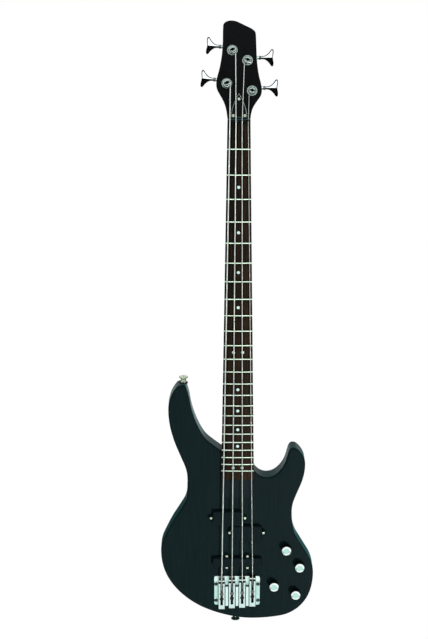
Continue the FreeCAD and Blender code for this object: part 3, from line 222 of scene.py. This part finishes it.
# Neck: one length of maple, shaped together with its tilted headstock and screwed into the body's pocket.
# It is sprayed black like the body: the headstock is polished to a gloss, and the heel stays paler.
def uneven_finish_group():
    """The faults of a sprayed, plated or moulded skin: blotches of shade and gloss, and a slight ripple."""
    group, given, result = shader_group(
        "uneven_finish",
        [("Colour", "Color"), ("Shade", "Color"), ("Blotch Scale", "Float"),
         ("Low Gloss", "Float"), ("High Gloss", "Float"), ("Ripple Depth", "Float")],
        [("Colour", "Color"), ("Roughness", "Float"), ("Normal", "Vector")])
    place = group.nodes.new("ShaderNodeTexCoord")
    blotches = group.nodes.new("ShaderNodeTexNoise")
    blotches.inputs["Detail"].default_value = 5
    contrast = group.nodes.new("ShaderNodeMapRange")
    contrast.inputs["From Min"].default_value = 0.3
    contrast.inputs["From Max"].default_value = 0.7
    gloss = group.nodes.new("ShaderNodeMapRange")
    tint = group.nodes.new("ShaderNodeMix")
    tint.data_type = "RGBA"
    ripple = group.nodes.new("ShaderNodeBump")
    link = group.links.new
    link(place.outputs["Object"], blotches.inputs["Vector"])
    link(given.outputs["Blotch Scale"], blotches.inputs["Scale"])
    link(blotches.outputs["Fac"], contrast.inputs["Value"])
    link(contrast.outputs["Result"], tint.inputs["Factor"])
    link(given.outputs["Colour"], tint.inputs["A"])
    link(given.outputs["Shade"], tint.inputs["B"])
    link(contrast.outputs["Result"], gloss.inputs["Value"])
    link(given.outputs["Low Gloss"], gloss.inputs["To Min"])
    link(given.outputs["High Gloss"], gloss.inputs["To Max"])
    link(contrast.outputs["Result"], ripple.inputs["Height"])
    link(given.outputs["Ripple Depth"], ripple.inputs["Distance"])
    link(tint.outputs["Result"], result.inputs["Colour"])
    link(gloss.outputs["Result"], result.inputs["Roughness"])
    link(ripple.outputs["Normal"], result.inputs["Normal"])
    return group


def coated(name, colour, shade, gloss, blotch_scale=90, ripple_depth=0.00001, metallic=0.0, shine=0.5):
    """A sprayed, plated or moulded finish from two screen colours and its lowest and highest roughness."""
    material = bpy.data.materials.new(name)
    material.use_nodes = True
    tree = material.node_tree
    shader = tree.nodes["Principled BSDF"]
    shader.inputs["Metallic"].default_value = metallic
    shader.inputs["Specular IOR Level"].default_value = shine
    skin = tree.nodes.new("ShaderNodeGroup")
    skin.name = "skin"
    skin.node_tree = uneven_finish
    skin.inputs["Colour"].default_value = screen_colour(*colour)
    skin.inputs["Shade"].default_value = screen_colour(*shade)
    skin.inputs["Blotch Scale"].default_value = blotch_scale
    skin.inputs["Low Gloss"].default_value, skin.inputs["High Gloss"].default_value = gloss
    skin.inputs["Ripple Depth"].default_value = ripple_depth
    tree.links.new(skin.outputs["Colour"], shader.inputs["Base Color"])
    tree.links.new(skin.outputs["Roughness"], shader.inputs["Roughness"])
    tree.links.new(skin.outputs["Normal"], shader.inputs["Normal"])
    return material


downward = (0, 0, -1)
heel_fade_top = 0.34
heel_fade_foot = 0.3
uneven_finish = uneven_finish_group()
toned_by_place = second_tone_group("toned_by_place", "ShaderNodeTexCoord", "Object")
gloss_black = coated("gloss_black_lacquer", (4, 6, 7), (6, 9, 10), (0.24, 0.34), blotch_scale=25, shine=0.04)
lay_over(gloss_black, toned_by_place, Tone=screen_colour(15, 28, 31), Way=downward,
         Low=-heel_fade_top, High=-heel_fade_foot)
# Its inner corners are painted darker: painted shade.
lay_over(gloss_black, painted_corner_shade, Soot=screen_colour(2, 4, 4), Reach=corner_reach)
dress(gloss_black, "neck")

# Fretboard: a dark hardwood board with a cambered face, glued to the neck and oiled, never lacquered.
# Brown and near-black fibres alternate along it and the pores stay open; it is painted darker beside the
# frets and under the strings as painted shade.
board_shade_reach = 0.01
oiled_rosewood = grained("oiled_dark_wood", (11, 9, 6), (55, 37, 18),
                         fibre_scale=520, gloss=(0.42, 0.6), pore_depth=0.00008, shine=0.04)
lay_over(oiled_rosewood, painted_corner_shade, Soot=screen_colour(4, 3, 2), Reach=board_shade_reach, Shut=0.76, Open=0.99)
dress(oiled_rosewood, "fretboard")

# Frets: nickel-silver wire with a domed crown, hammered into slots and polished along their length.
# The truss rod and its nut are plain steel, hidden under the fretboard.
fret_wire = coated("polished_fret_wire", (226, 246, 226), (210, 230, 210), (0.16, 0.28), metallic=1.0)
# Faces turned from the front are painted dark: painted shade and reflection on the sides of the crown.
lay_over(fret_wire, toned_by_facing, Tone=screen_colour(36, 40, 34), Way=forward, Low=0.85, High=0.6)
plain_steel = coated("plain_steel", (150, 152, 150), (120, 122, 121), (0.3, 0.45),
                     blotch_scale=200, metallic=1.0)
dress(fret_wire, "frets")
dress(plain_steel, "truss_rod", "truss_rod_nut")

# Position dots and side dots: discs of white shell, glued into drilled seats and sanded flush.
# Shell has a cloudy figure, paler and darker by a little.
white_shell = coated("white_shell", (204, 232, 225), (178, 206, 199), (0.2, 0.32), blotch_scale=320)
dress(white_shell, "position_dots", "side_dots")


# Nut: a black moulded block glued to the end of the fretboard, with a groove filed for each string.
# The control cover on the back is a sheet of the same plastic, screwed on.
def black_moulding(name):
    """Black plastic with the fine grain of its mould."""
    return coated(name, (10, 16, 17), (13, 20, 21), (0.36, 0.48),
                  blotch_scale=600, ripple_depth=0.00003, shine=0.05)


upward = (0, 0, 1)
black_plastic = black_moulding("black_moulded_plastic")
nut_black = black_moulding("black_nut")
# The nut's upper face is painted paler: a painted highlight.
lay_over(nut_black, toned_by_facing, Tone=screen_colour(70, 112, 118), Way=upward, Low=0.85, High=0.97)
dress(black_plastic, "control_cover")
dress(nut_black, "nut")

# Truss rod cover: a pointed arch cut from laminated plastic, black over a white core.
# Its bevelled edge bares the white core as a thin pale line, and screws hold it to the headstock.
head_tilt = math.radians(11)
head_faces = (0, -math.cos(head_tilt), math.sin(head_tilt))
laminate = coated("laminated_plastic", (7, 9, 10), (9, 11, 12), (0.24, 0.34), blotch_scale=300, shine=0.05)
lay_over(laminate, toned_by_facing, Tone=screen_colour(150, 160, 157), Way=head_faces, Low=0.97, High=0.9)
dress(laminate, "truss_rod_cover")


# Tuners: die-cast housings behind the headstock, each with a key whose worm turns a gear on its string post.
# Bushes, washers, posts and keys are all chromed and held by a threaded bush and one screw.
def painted_edge_group():
    """Painted shade and dark reflection along sharp edges: Reach is how far in from the edge."""
    group, given, result = shader_group(
        "painted_dark_edges", [("Colour", "Color"), ("Tone", "Color"), ("Reach", "Float")], [("Colour", "Color")])
    rounded = group.nodes.new("ShaderNodeBevel")
    rounded.samples = 8
    plain = group.nodes.new("ShaderNodeNewGeometry")
    agreement = group.nodes.new("ShaderNodeVectorMath")
    agreement.operation = "DOT_PRODUCT"
    bent = group.nodes.new("ShaderNodeMapRange")
    bent.inputs["From Min"].default_value = 0.998
    bent.inputs["From Max"].default_value = 0.96
    layers = group.nodes.new("ShaderNodeMix")
    layers.data_type = "RGBA"
    link = group.links.new
    link(given.outputs["Reach"], rounded.inputs["Radius"])
    link(rounded.outputs["Normal"], agreement.inputs[0])
    link(plain.outputs["True Normal"], agreement.inputs[1])
    link(agreement.outputs["Value"], bent.inputs["Value"])
    link(bent.outputs["Result"], layers.inputs["Factor"])
    link(given.outputs["Colour"], layers.inputs["A"])
    link(given.outputs["Tone"], layers.inputs["B"])
    link(layers.outputs["Result"], result.inputs["Colour"])
    return group


def chromed(name, colour, shade, reach, edge, metallic=1.0, edge_tone=(70, 80, 78)):
    """Chrome from two screen colours, painted dark for reach from its corners and for edge from its edges."""
    material = coated(name, colour, shade, (0.07, 0.13),
                      blotch_scale=60, ripple_depth=0.000004, metallic=metallic)
    lay_over(material, painted_dark_edges, Tone=screen_colour(*edge_tone), Reach=edge)
    lay_over(material, painted_corner_shade, Soot=chrome_corner_shade, Reach=reach)
    return material


string_names = ("e", "a", "d", "g")
painted_dark_edges = painted_edge_group()
chrome_corner_shade = screen_colour(10, 15, 14)
# All chrome is painted dark in its corners and along its edges as painted shade and reflection; the keys'
# edges nearly black.
chrome = chromed("bright_chrome", (192, 214, 207), (182, 205, 197), reach=0.009, edge=0.001)
key_chrome = chromed("key_chrome", (168, 172, 174), (160, 164, 166), reach=corner_reach, edge=0.005,
                     edge_tone=(8, 9, 11))
dress(chrome, "tuner_housings", "tuner_plates", "tuner_bushes", "tuner_washers")
for name in string_names:
    dress(key_chrome, "tuner_key_" + name)
    dress(chrome, "tuner_post_" + name)

# Bridge: a chromed plate screwed to the body, with ribs that guide four long saddles.
# Each saddle is a chromed block with black grub screws: two for height and one that locks it.
# Faces that look up are painted dark as a painted reflection of the dark room, and the saddles' feet as
# painted shade.
backward = (0, 1, 0)
rib_highlight_start = 0.045
rib_highlight_full = 0.046
plate_top_highlight_start = -0.008
plate_top_highlight_full = -0.007
foot_shade_start = -0.0495
foot_shade_full = -0.0492
dark_shade_and_reflection = screen_colour(12, 15, 14)
plate_chrome = chromed("plate_chrome", (186, 226, 218), (176, 216, 208), reach=corner_reach, edge=0.0006,
                       metallic=0.6)
# The ribs and the plate's front strip are painted paler: painted highlights.
lay_over(plate_chrome, toned_by_place, Tone=screen_colour(206, 234, 228), Way=forward,
         Low=rib_highlight_start, High=rib_highlight_full)
lay_over(plate_chrome, toned_by_place, Tone=screen_colour(216, 242, 235), Way=upward,
         Low=plate_top_highlight_start, High=plate_top_highlight_full)
lay_over(plate_chrome, toned_by_facing, Tone=dark_shade_and_reflection, Way=upward, Low=0.8, High=0.95)
saddle_chrome = chromed("saddle_chrome", (208, 234, 228), (200, 227, 221), reach=0.003, edge=0.0009,
                        metallic=0.8)
lay_over(saddle_chrome, toned_by_place, Tone=dark_shade_and_reflection, Way=backward,
         Low=foot_shade_start, High=foot_shade_full)
lay_over(saddle_chrome, toned_by_facing, Tone=dark_shade_and_reflection, Way=upward, Low=0.8, High=0.95)
blackened_steel = coated("blackened_steel", (22, 26, 26), (30, 34, 34), (0.35, 0.5),
                         blotch_scale=400, metallic=0.6)
dress(plate_chrome, "bridge_plate")
for name in string_names:
    dress(saddle_chrome, "saddle_" + name)
    dress(blackened_steel, "saddle_screws_" + name)

# Pickups: black moulded covers over coils of enamelled copper wire on rod magnets, pressed up by foam.
# Two half-length covers stand stepped side by side, and one long narrow cover is nearer the bridge.
pickup_black = coated("pickup_black_plastic", (12, 23, 26), (15, 27, 30), (0.4, 0.52),
                      blotch_scale=700, ripple_depth=0.00003, shine=0.015)
copper_coil = coated("enamelled_copper", (150, 84, 48), (120, 62, 34), (0.3, 0.45),
                     blotch_scale=900, metallic=0.8)
bare_magnet = coated("bare_magnet", (92, 92, 94), (70, 70, 72), (0.4, 0.6), blotch_scale=500, metallic=1.0)
black_foam = coated("black_foam", (18, 18, 18), (30, 30, 30), (0.9, 1.0),
                    blotch_scale=1200, ripple_depth=0.0004)
dress(pickup_black, "split_pickup_covers", "straight_pickup_cover")
dress(copper_coil, "pickup_coils")
dress(bare_magnet, "pickup_magnets")
dress(black_foam, "pickup_foam")

# Controls: solid chromed knobs pushed on the shafts of potentiometers, which a nut clamps through the body.
# Behind them a circuit board and its battery fill the control cavity.
zinc_case = coated("zinc_plated_case", (170, 172, 168), (146, 148, 145), (0.3, 0.42),
                   blotch_scale=150, metallic=1.0)
green_board = coated("green_lacquered_board", (22, 84, 52), (16, 66, 42), (0.25, 0.4), blotch_scale=350)
battery_sleeve = coated("battery_sleeve", (32, 33, 36), (24, 25, 28), (0.25, 0.35), blotch_scale=120)
knob_chrome = chromed("knob_chrome", (240, 250, 247), (232, 244, 240), reach=0.003, edge=0.0003,
                      metallic=0.55)
# The knob faces are painted bluer than the rims as a painted reflection, and their sides dark as painted
# shade.
lay_over(knob_chrome, toned_by_facing, Tone=screen_colour(168, 212, 200), Way=forward, Low=0.95, High=0.98)
lay_over(knob_chrome, toned_by_facing, Tone=dark_shade_and_reflection, Way=forward, Low=0.3, High=0.1)
dress(knob_chrome, "volume_knob", "blend_knob", "treble_knob", "bass_knob")
dress(chrome, "pot_nuts")
dress(zinc_case, "pots")
dress(green_board, "circuit_board")
dress(battery_sleeve, "battery")

# Output jack and strap buttons: turned and chromed brass, the buttons screwed down on felt washers.
# The jack's barrel is clamped in the tail by its nut. The neck screws' ferrules are chromed like it.
black_felt = coated("black_felt", (20, 20, 21), (34, 34, 35), (0.9, 1.0),
                    blotch_scale=1500, ripple_depth=0.0005)
dull_chrome = chromed("dull_chrome", (190, 206, 182), (172, 188, 164), reach=corner_reach, edge=0.0004)
# The buttons' left and right flanks are painted dark: painted shade and reflection.
for side in (-1, 1):
    lay_over(dull_chrome, toned_by_facing, Tone=dark_shade_and_reflection, Way=(side, 0, 0), Low=0.5, High=0.75)
dress(chrome, "output_jack", "jack_nut", "neck_ferrules")
dress(dull_chrome, "strap_buttons")
dress(black_felt, "strap_felts")

# Screws: nickel-plated steel with cross recesses, countersunk in whatever they hold.
# The bridge's own are darkened steel, and the recesses of the others are painted dark as painted shade.
recess_reach = 0.002
nickel_screw = coated("nickel_plated_screws", (206, 226, 200), (188, 206, 182), (0.18, 0.3),
                      blotch_scale=300, metallic=1.0)
lay_over(nickel_screw, painted_corner_shade, Soot=chrome_corner_shade, Reach=recess_reach)
darkened_screw = coated("darkened_bridge_screws", (58, 66, 58), (46, 53, 46), (0.25, 0.36),
                        blotch_scale=300, metallic=1.0)
dress(nickel_screw, "trim_screws", "neck_screws", "pickup_screws", "strap_screws")
dress(darkened_screw, "bridge_screws")

# Strings: steel cores wrapped with round nickelled wire, each held by a ball in its saddle.
# A string runs over the saddle and the nut, winds twice round its post and ends in the post's slot.
scale_length = 0.8636
nut_pitch = 0.0107
bridge_pitch = 0.0194
string_radii = {"e": 0.001335, "a": 0.00108, "d": 0.000825, "g": 0.00057}
wrap_pitches = {"e": 0.0009, "a": 0.0007, "d": 0.00055, "g": 0.0004}
wrap_relief_share = 1 / 18
string_shade_reach = 0.03
saddle_set_backs = {"e": 0.0033, "a": 0.0015, "d": 0.0004, "g": -0.002}
board_top = -0.0485
board_radius = 0.305
nut_action = 0.0016
bridge_action = 0.0052
nut_length = 0.0042
nut_shelf = 0.0018
head_drop = 0.005
head_half_width = 0.04
head_length = 0.168
tuner_place_shares = {"e": (-0.53, 0.355), "a": (-0.29, 0.695), "d": (0.368, 0.592), "g": (0.568, 0.279)}
ball_radius = 0.00315
ball_length = 0.0054
ball_bore = 0.0012
ball_set_back = 0.0285
ball_height = -0.0452
ball_seat_gap = 0.0003
crest_bend = 0.009
nut_bend = 0.014
waist_radius = 0.0042
post_hole_radius = 0.0026
string_gap = 0.0003
first_turn_height = 0.0057
winding_gap = 0.00055
turn_steps = 48
tail_steps = 10
head_place = Matrix.Translation((0, board_top + head_drop, scale_length + nut_length + nut_shelf))
head_frame = head_place @ Matrix.Rotation(-head_tilt, 4, "X")


def over_board(across, rise):
    """Where a point lies that stands rise over the cambered board, at a place across it."""
    return board_top - rise + board_radius - math.sqrt(board_radius ** 2 - across ** 2)


def beside_post(place, angle, reach, height):
    """A point at reach round a place on the headstock, at a height over its face."""
    u, v = place
    return head_frame @ Vector((u + reach * math.cos(angle), -height, v + reach * math.sin(angle)))


def bend_points(before, point, after, radius, steps=8):
    """Points round the bend that a path makes at point."""
    back = (before - point).normalized()
    ahead = (after - point).normalized()
    half = back.angle(ahead) / 2
    centre = point + (back + ahead).normalized() * (radius / math.sin(half))
    start = (point + back * (radius / math.tan(half)) - centre).normalized()
    end = (point + ahead * (radius / math.tan(half)) - centre).normalized()
    return [centre + start.slerp(end, step / steps) * radius for step in range(steps + 1)]


def meshed(name, verts, faces):
    """A piece in the scene from its points and faces."""
    mesh = bpy.data.meshes.new(name)
    mesh.from_pydata(verts, [], faces)
    piece = bpy.data.objects.new(name, mesh)
    bpy.context.scene.collection.objects.link(piece)
    return piece


def swept_tube(name, points, radius, sides=24):
    """A capped tube along points, with the distance along it kept in an attribute for the wrap wire."""
    verts, faces, along = [], [], []
    way = (points[1] - points[0]).normalized()
    across = way.orthogonal().normalized()
    travelled = 0.0
    for index, point in enumerate(points):
        ahead = points[min(index + 1, len(points) - 1)] - points[max(index - 1, 0)]
        turn = way.rotation_difference(ahead.normalized())
        way = ahead.normalized()
        across = turn @ across
        side = way.cross(across)
        if index:
            travelled += (point - points[index - 1]).length
        for step in range(sides):
            angle = 2 * math.pi * step / sides
            verts.append(point + (across * math.cos(angle) + side * math.sin(angle)) * radius)
            along.append(travelled)
    for ring in range(len(points) - 1):
        for step in range(sides):
            here, there = ring * sides + step, ring * sides + (step + 1) % sides
            faces.append((here, there, there + sides, here + sides))
    faces.append(tuple(reversed(range(sides))))
    faces.append(tuple(range(len(verts) - sides, len(verts))))
    piece = meshed(name, verts, faces)
    piece.data.attributes.new("along", "FLOAT", "POINT").data.foreach_set("value", along)
    piece.data.polygons.foreach_set("use_smooth", [len(face) == 4 for face in faces])
    return piece


def ball_end(name, centre, sides=32):
    """The steel ring that a string is twisted round, lying in its saddle's keyhole."""
    profile = ((ball_bore, -0.5), (ball_radius, -0.5), (ball_radius, 0.5), (ball_bore, 0.5))
    corners = len(profile)
    verts, faces = [], []
    for step in range(sides):
        angle = 2 * math.pi * step / sides
        across, up = math.cos(angle), math.sin(angle)
        for radius, share in profile:
            verts.append(centre + Vector((radius * across, share * ball_length, radius * up)))
        near, far = corners * step, corners * ((step + 1) % sides)
        for corner in range(corners):
            following = (corner + 1) % corners
            faces.append((near + corner, near + following, far + following, far + corner))
    return meshed(name, verts, faces)


def wrapped_wire(name, wrap_pitch):
    """Nickelled wire wound closely round a core: the turns are a relief along the string."""
    material = coated("wrapped_wire_" + name, (204, 213, 206), (190, 199, 192), (0.26, 0.34),
                      blotch_scale=400, metallic=1.0)
    # The wire's sides are painted dark, and it is painted darker near the board: painted shade.
    lay_over(material, toned_by_facing, Tone=screen_colour(26, 30, 26), Way=forward, Low=0.88, High=0.5)
    lay_over(material, painted_corner_shade, Soot=screen_colour(16, 20, 18), Reach=string_shade_reach)
    tree = material.node_tree
    distance = tree.nodes.new("ShaderNodeAttribute")
    distance.attribute_name = "along"
    turns = tree.nodes.new("ShaderNodeMath")
    turns.operation = "MULTIPLY"
    turns.inputs[1].default_value = 2 * math.pi / wrap_pitch
    crest = tree.nodes.new("ShaderNodeMath")
    crest.operation = "SINE"
    relief = tree.nodes.new("ShaderNodeBump")
    relief.inputs["Distance"].default_value = wrap_pitch * wrap_relief_share
    tree.links.new(distance.outputs["Fac"], turns.inputs[0])
    tree.links.new(turns.outputs["Value"], crest.inputs[0])
    tree.links.new(crest.outputs["Value"], relief.inputs["Height"])
    tree.links.new(tree.nodes["skin"].outputs["Normal"], relief.inputs["Normal"])
    tree.links.new(relief.outputs["Normal"], tree.nodes["Principled BSDF"].inputs["Normal"])
    return material


dull_steel = coated("dull_steel_ball", (92, 100, 92), (74, 82, 75), (0.3, 0.42),
                    blotch_scale=300, metallic=1.0)
for index, name in enumerate(string_names):
    radius = string_radii[name]
    from_middle = index - (len(string_names) - 1) / 2
    nut_x, bridge_x = from_middle * nut_pitch, from_middle * bridge_pitch
    crest_y, crest_z = over_board(bridge_x, bridge_action + radius), -saddle_set_backs[name]
    nut_spot = Vector((nut_x, over_board(nut_x, nut_action + radius), scale_length))
    crest = Vector((bridge_x, crest_y, crest_z))
    ball = Vector((bridge_x, ball_height - ball_length / 2 + ball_seat_gap, crest_z - ball_set_back))
    u_share, v_share = tuner_place_shares[name]
    post = (u_share * head_half_width, v_share * head_length)
    turn = 1 if u_share < 0 else -1
    reach = waist_radius + string_gap + radius
    climb = 2 * radius + winding_gap
    height = first_turn_height + radius
    from_nut = head_frame.inverted() @ nut_spot
    to_post = Vector((post[0] - from_nut.x, post[1] - from_nut.z))
    travel = math.atan2(to_post.y, to_post.x) - turn * math.asin(reach / to_post.length)
    start_angle = travel - turn * math.pi / 2
    windings = []
    for step in range(2 * turn_steps + 1):
        turns = step / turn_steps
        angle = start_angle + turn * turns * 2 * math.pi
        windings.append(beside_post(post, angle, reach, height + climb * turns))
    end_angle = start_angle + turn * 4 * math.pi
    end_height = height + 2 * climb
    bend = radius + string_gap / 2
    lean = math.atan2(bend, math.sqrt((reach - bend) ** 2 - bend ** 2))
    bend_u = post[0] + (reach - bend) * math.cos(end_angle)
    bend_v = post[1] + (reach - bend) * math.sin(end_angle)
    tail = []
    for step in range(1, tail_steps + 1):
        sweep = end_angle + turn * (math.pi / 2 + lean) * step / tail_steps
        tail.append(beside_post((bend_u, bend_v), sweep, bend, end_height))
    tail.append(beside_post(post, end_angle + turn * lean, post_hole_radius, end_height))
    set_out = ball + (crest - ball).normalized() * ball_radius
    run = [set_out] + bend_points(set_out, crest, nut_spot, crest_bend)
    run += bend_points(crest, nut_spot, windings[0], nut_bend) + windings[:turn_steps + 1]
    wire = wrapped_wire(name, wrap_pitches[name])
    string = swept_tube("string_run_" + name, run, radius)
    string.data.materials.append(wire)
    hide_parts("string_" + name)
    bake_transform(string)
    string_end = swept_tube("string_end_" + name, windings[turn_steps:] + tail, radius)
    string_end.data.materials.append(wire)
    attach(string_end, "tuner_post_" + name)
    ring = ball_end("string_ball_" + name, ball)
    ring.data.materials.append(dull_steel)
    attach(ring, "saddle_" + name)


# Floor: a sheet of white studio paper, about a metre below the bass, which hangs clear of it.
# It glows white to the camera and in the chrome, and keeps some of the soft shadow.
def flat_sheet(low, high):
    """The four corners of a flat sheet between two opposite ones."""
    split = 2 if low[0] == high[0] else 1
    return [low, high[:split] + low[split:], high, low[:split] + high[split:]]


def white_to_the_eye(tree, share):
    """A factor: share for camera, mirror and glass rays, and nothing for the rays that light the scene."""
    path = tree.nodes.new("ShaderNodeLightPath")
    seen = tree.nodes.new("ShaderNodeMath")
    seen.operation = "MAXIMUM"
    through = tree.nodes.new("ShaderNodeMath")
    through.operation = "MAXIMUM"
    amount = tree.nodes.new("ShaderNodeMath")
    amount.operation = "MULTIPLY"
    amount.inputs[1].default_value = share
    tree.links.new(path.outputs["Is Camera Ray"], seen.inputs[0])
    tree.links.new(path.outputs["Is Glossy Ray"], seen.inputs[1])
    tree.links.new(seen.outputs["Value"], through.inputs[0])
    tree.links.new(path.outputs["Is Transmission Ray"], through.inputs[1])
    tree.links.new(through.outputs["Value"], amount.inputs[0])
    return amount.outputs["Value"]


floor_level = -1.1
floor_half = 60.0
floor_corners = flat_sheet((-floor_half, -floor_half, floor_level), (floor_half, floor_half, floor_level))
floor = meshed("studio_floor", floor_corners, [range(4)])
white_paper = coated("white_paper", (244, 244, 244), (238, 238, 238), (0.8, 0.9), blotch_scale=3)
paper_tree = white_paper.node_tree
glow = paper_tree.nodes.new("ShaderNodeEmission")
paper_mix = paper_tree.nodes.new("ShaderNodeMixShader")
glow.inputs["Strength"].default_value = 1.03
paper_tree.links.new(white_to_the_eye(paper_tree, share=0.96), paper_mix.inputs["Fac"])
paper_tree.links.new(paper_tree.nodes["Principled BSDF"].outputs["BSDF"], paper_mix.inputs[1])
paper_tree.links.new(glow.outputs["Emission"], paper_mix.inputs[2])
paper_tree.links.new(paper_mix.outputs["Shader"], paper_tree.nodes["Material Output"].inputs["Surface"])
floor.data.materials.append(white_paper)


# Studio light: an even white room, with one small lamp low on the right and one large soft lamp overhead.
# The room looks white to the camera, and lights the bass less than that.
def area_lamp(name, place, target, size, power):
    """A square lamp that faces target."""
    data = bpy.data.lights.new(name, "AREA")
    data.size = size
    data.energy = power
    lamp = bpy.data.objects.new(name, data)
    lamp.location = place
    lamp.rotation_euler = (Vector(target) - Vector(place)).to_track_quat("-Z", "Y").to_euler()
    bpy.context.scene.collection.objects.link(lamp)


room_light = 0.4
seen_light = 1.0
world = bpy.data.worlds.new("white_room")
bpy.context.scene.world = world
world.use_nodes = True
room = world.node_tree
background = room.nodes["Background"]
background.inputs["Color"].default_value = (1, 1, 1, 1)
level = room.nodes.new("ShaderNodeMapRange")
level.inputs["To Min"].default_value = room_light
level.inputs["To Max"].default_value = seen_light
room.links.new(white_to_the_eye(room, share=1.0), level.inputs["Value"])
room.links.new(level.outputs["Result"], background.inputs["Strength"])
area_lamp("low_right_lamp", place=(1.0, -2.7, -1.0), target=(0, 0, 0.2), size=0.2, power=75)
area_lamp("overhead_lamp", place=(-0.1, -1.8, 2.4), target=(0, 0, 0.6), size=1.6, power=20)

# Dark cards: black boards round the bass and on the floor, as photographers use to give chrome a dark edge.
# Only mirror rays see the large ones. The two low ones behind it also keep light off the waist's sides.
card_half_width = 2.0
front_card_y = -3.3
front_card_foot = 0.1
front_card_top = 1.35
mat_front = -1.9
mat_back = -0.45
mat_level = -1.05
side_card_x = 2.2
side_card_front = 0.3
side_card_back = 2.6
side_card_top = 1.6
low_card_y = 0.7
low_card_inside = 0.24
low_card_outside = 1.2
low_card_foot = -0.8
low_card_top = 0.12
mirror_corners = flat_sheet((-card_half_width, front_card_y, front_card_foot),
                            (card_half_width, front_card_y, front_card_top))
mirror_corners += flat_sheet((-card_half_width, mat_front, mat_level), (card_half_width, mat_back, mat_level))
low_corners = []
for side in (-1, 1):
    mirror_corners += flat_sheet((side * side_card_x, side_card_front, mat_level),
                                 (side * side_card_x, side_card_back, side_card_top))
    low_corners += flat_sheet((side * low_card_inside, low_card_y, low_card_foot),
                              (side * low_card_outside, low_card_y, low_card_top))
black_card = coated("black_card", (7, 15, 12), (10, 19, 15), (0.9, 1.0), blotch_scale=5, shine=0.1)
for name, corners in (("mirror_cards", mirror_corners), ("low_cards", low_corners)):
    card = meshed(name, corners, [range(first, first + 4) for first in range(0, len(corners), 4)])
    card.data.materials.append(black_card)
    card.visible_camera = False
    card.visible_diffuse = name == "low_cards"
    card.visible_shadow = False

# Camera: a long lens a little higher than the headstock, looking down at the bass.
# Its place and focal length come from the frets and the tuners in the photograph.
looking_down = math.radians(15.185)
camera_data = bpy.data.cameras.new("photograph")
camera_data.sensor_fit = "VERTICAL"
camera_data.sensor_height = 36.0
camera_data.lens = 86.93
camera_data.clip_end = 200.0
camera = bpy.data.objects.new("photograph", camera_data)
camera.location = (-0.0436, -2.731284, 1.234845)
camera.rotation_euler = (math.pi / 2 - looking_down, 0, 0)
bpy.context.scene.collection.objects.link(camera)
bpy.context.scene.camera = camera
bpy.context.scene.view_settings.view_transform = "Standard"
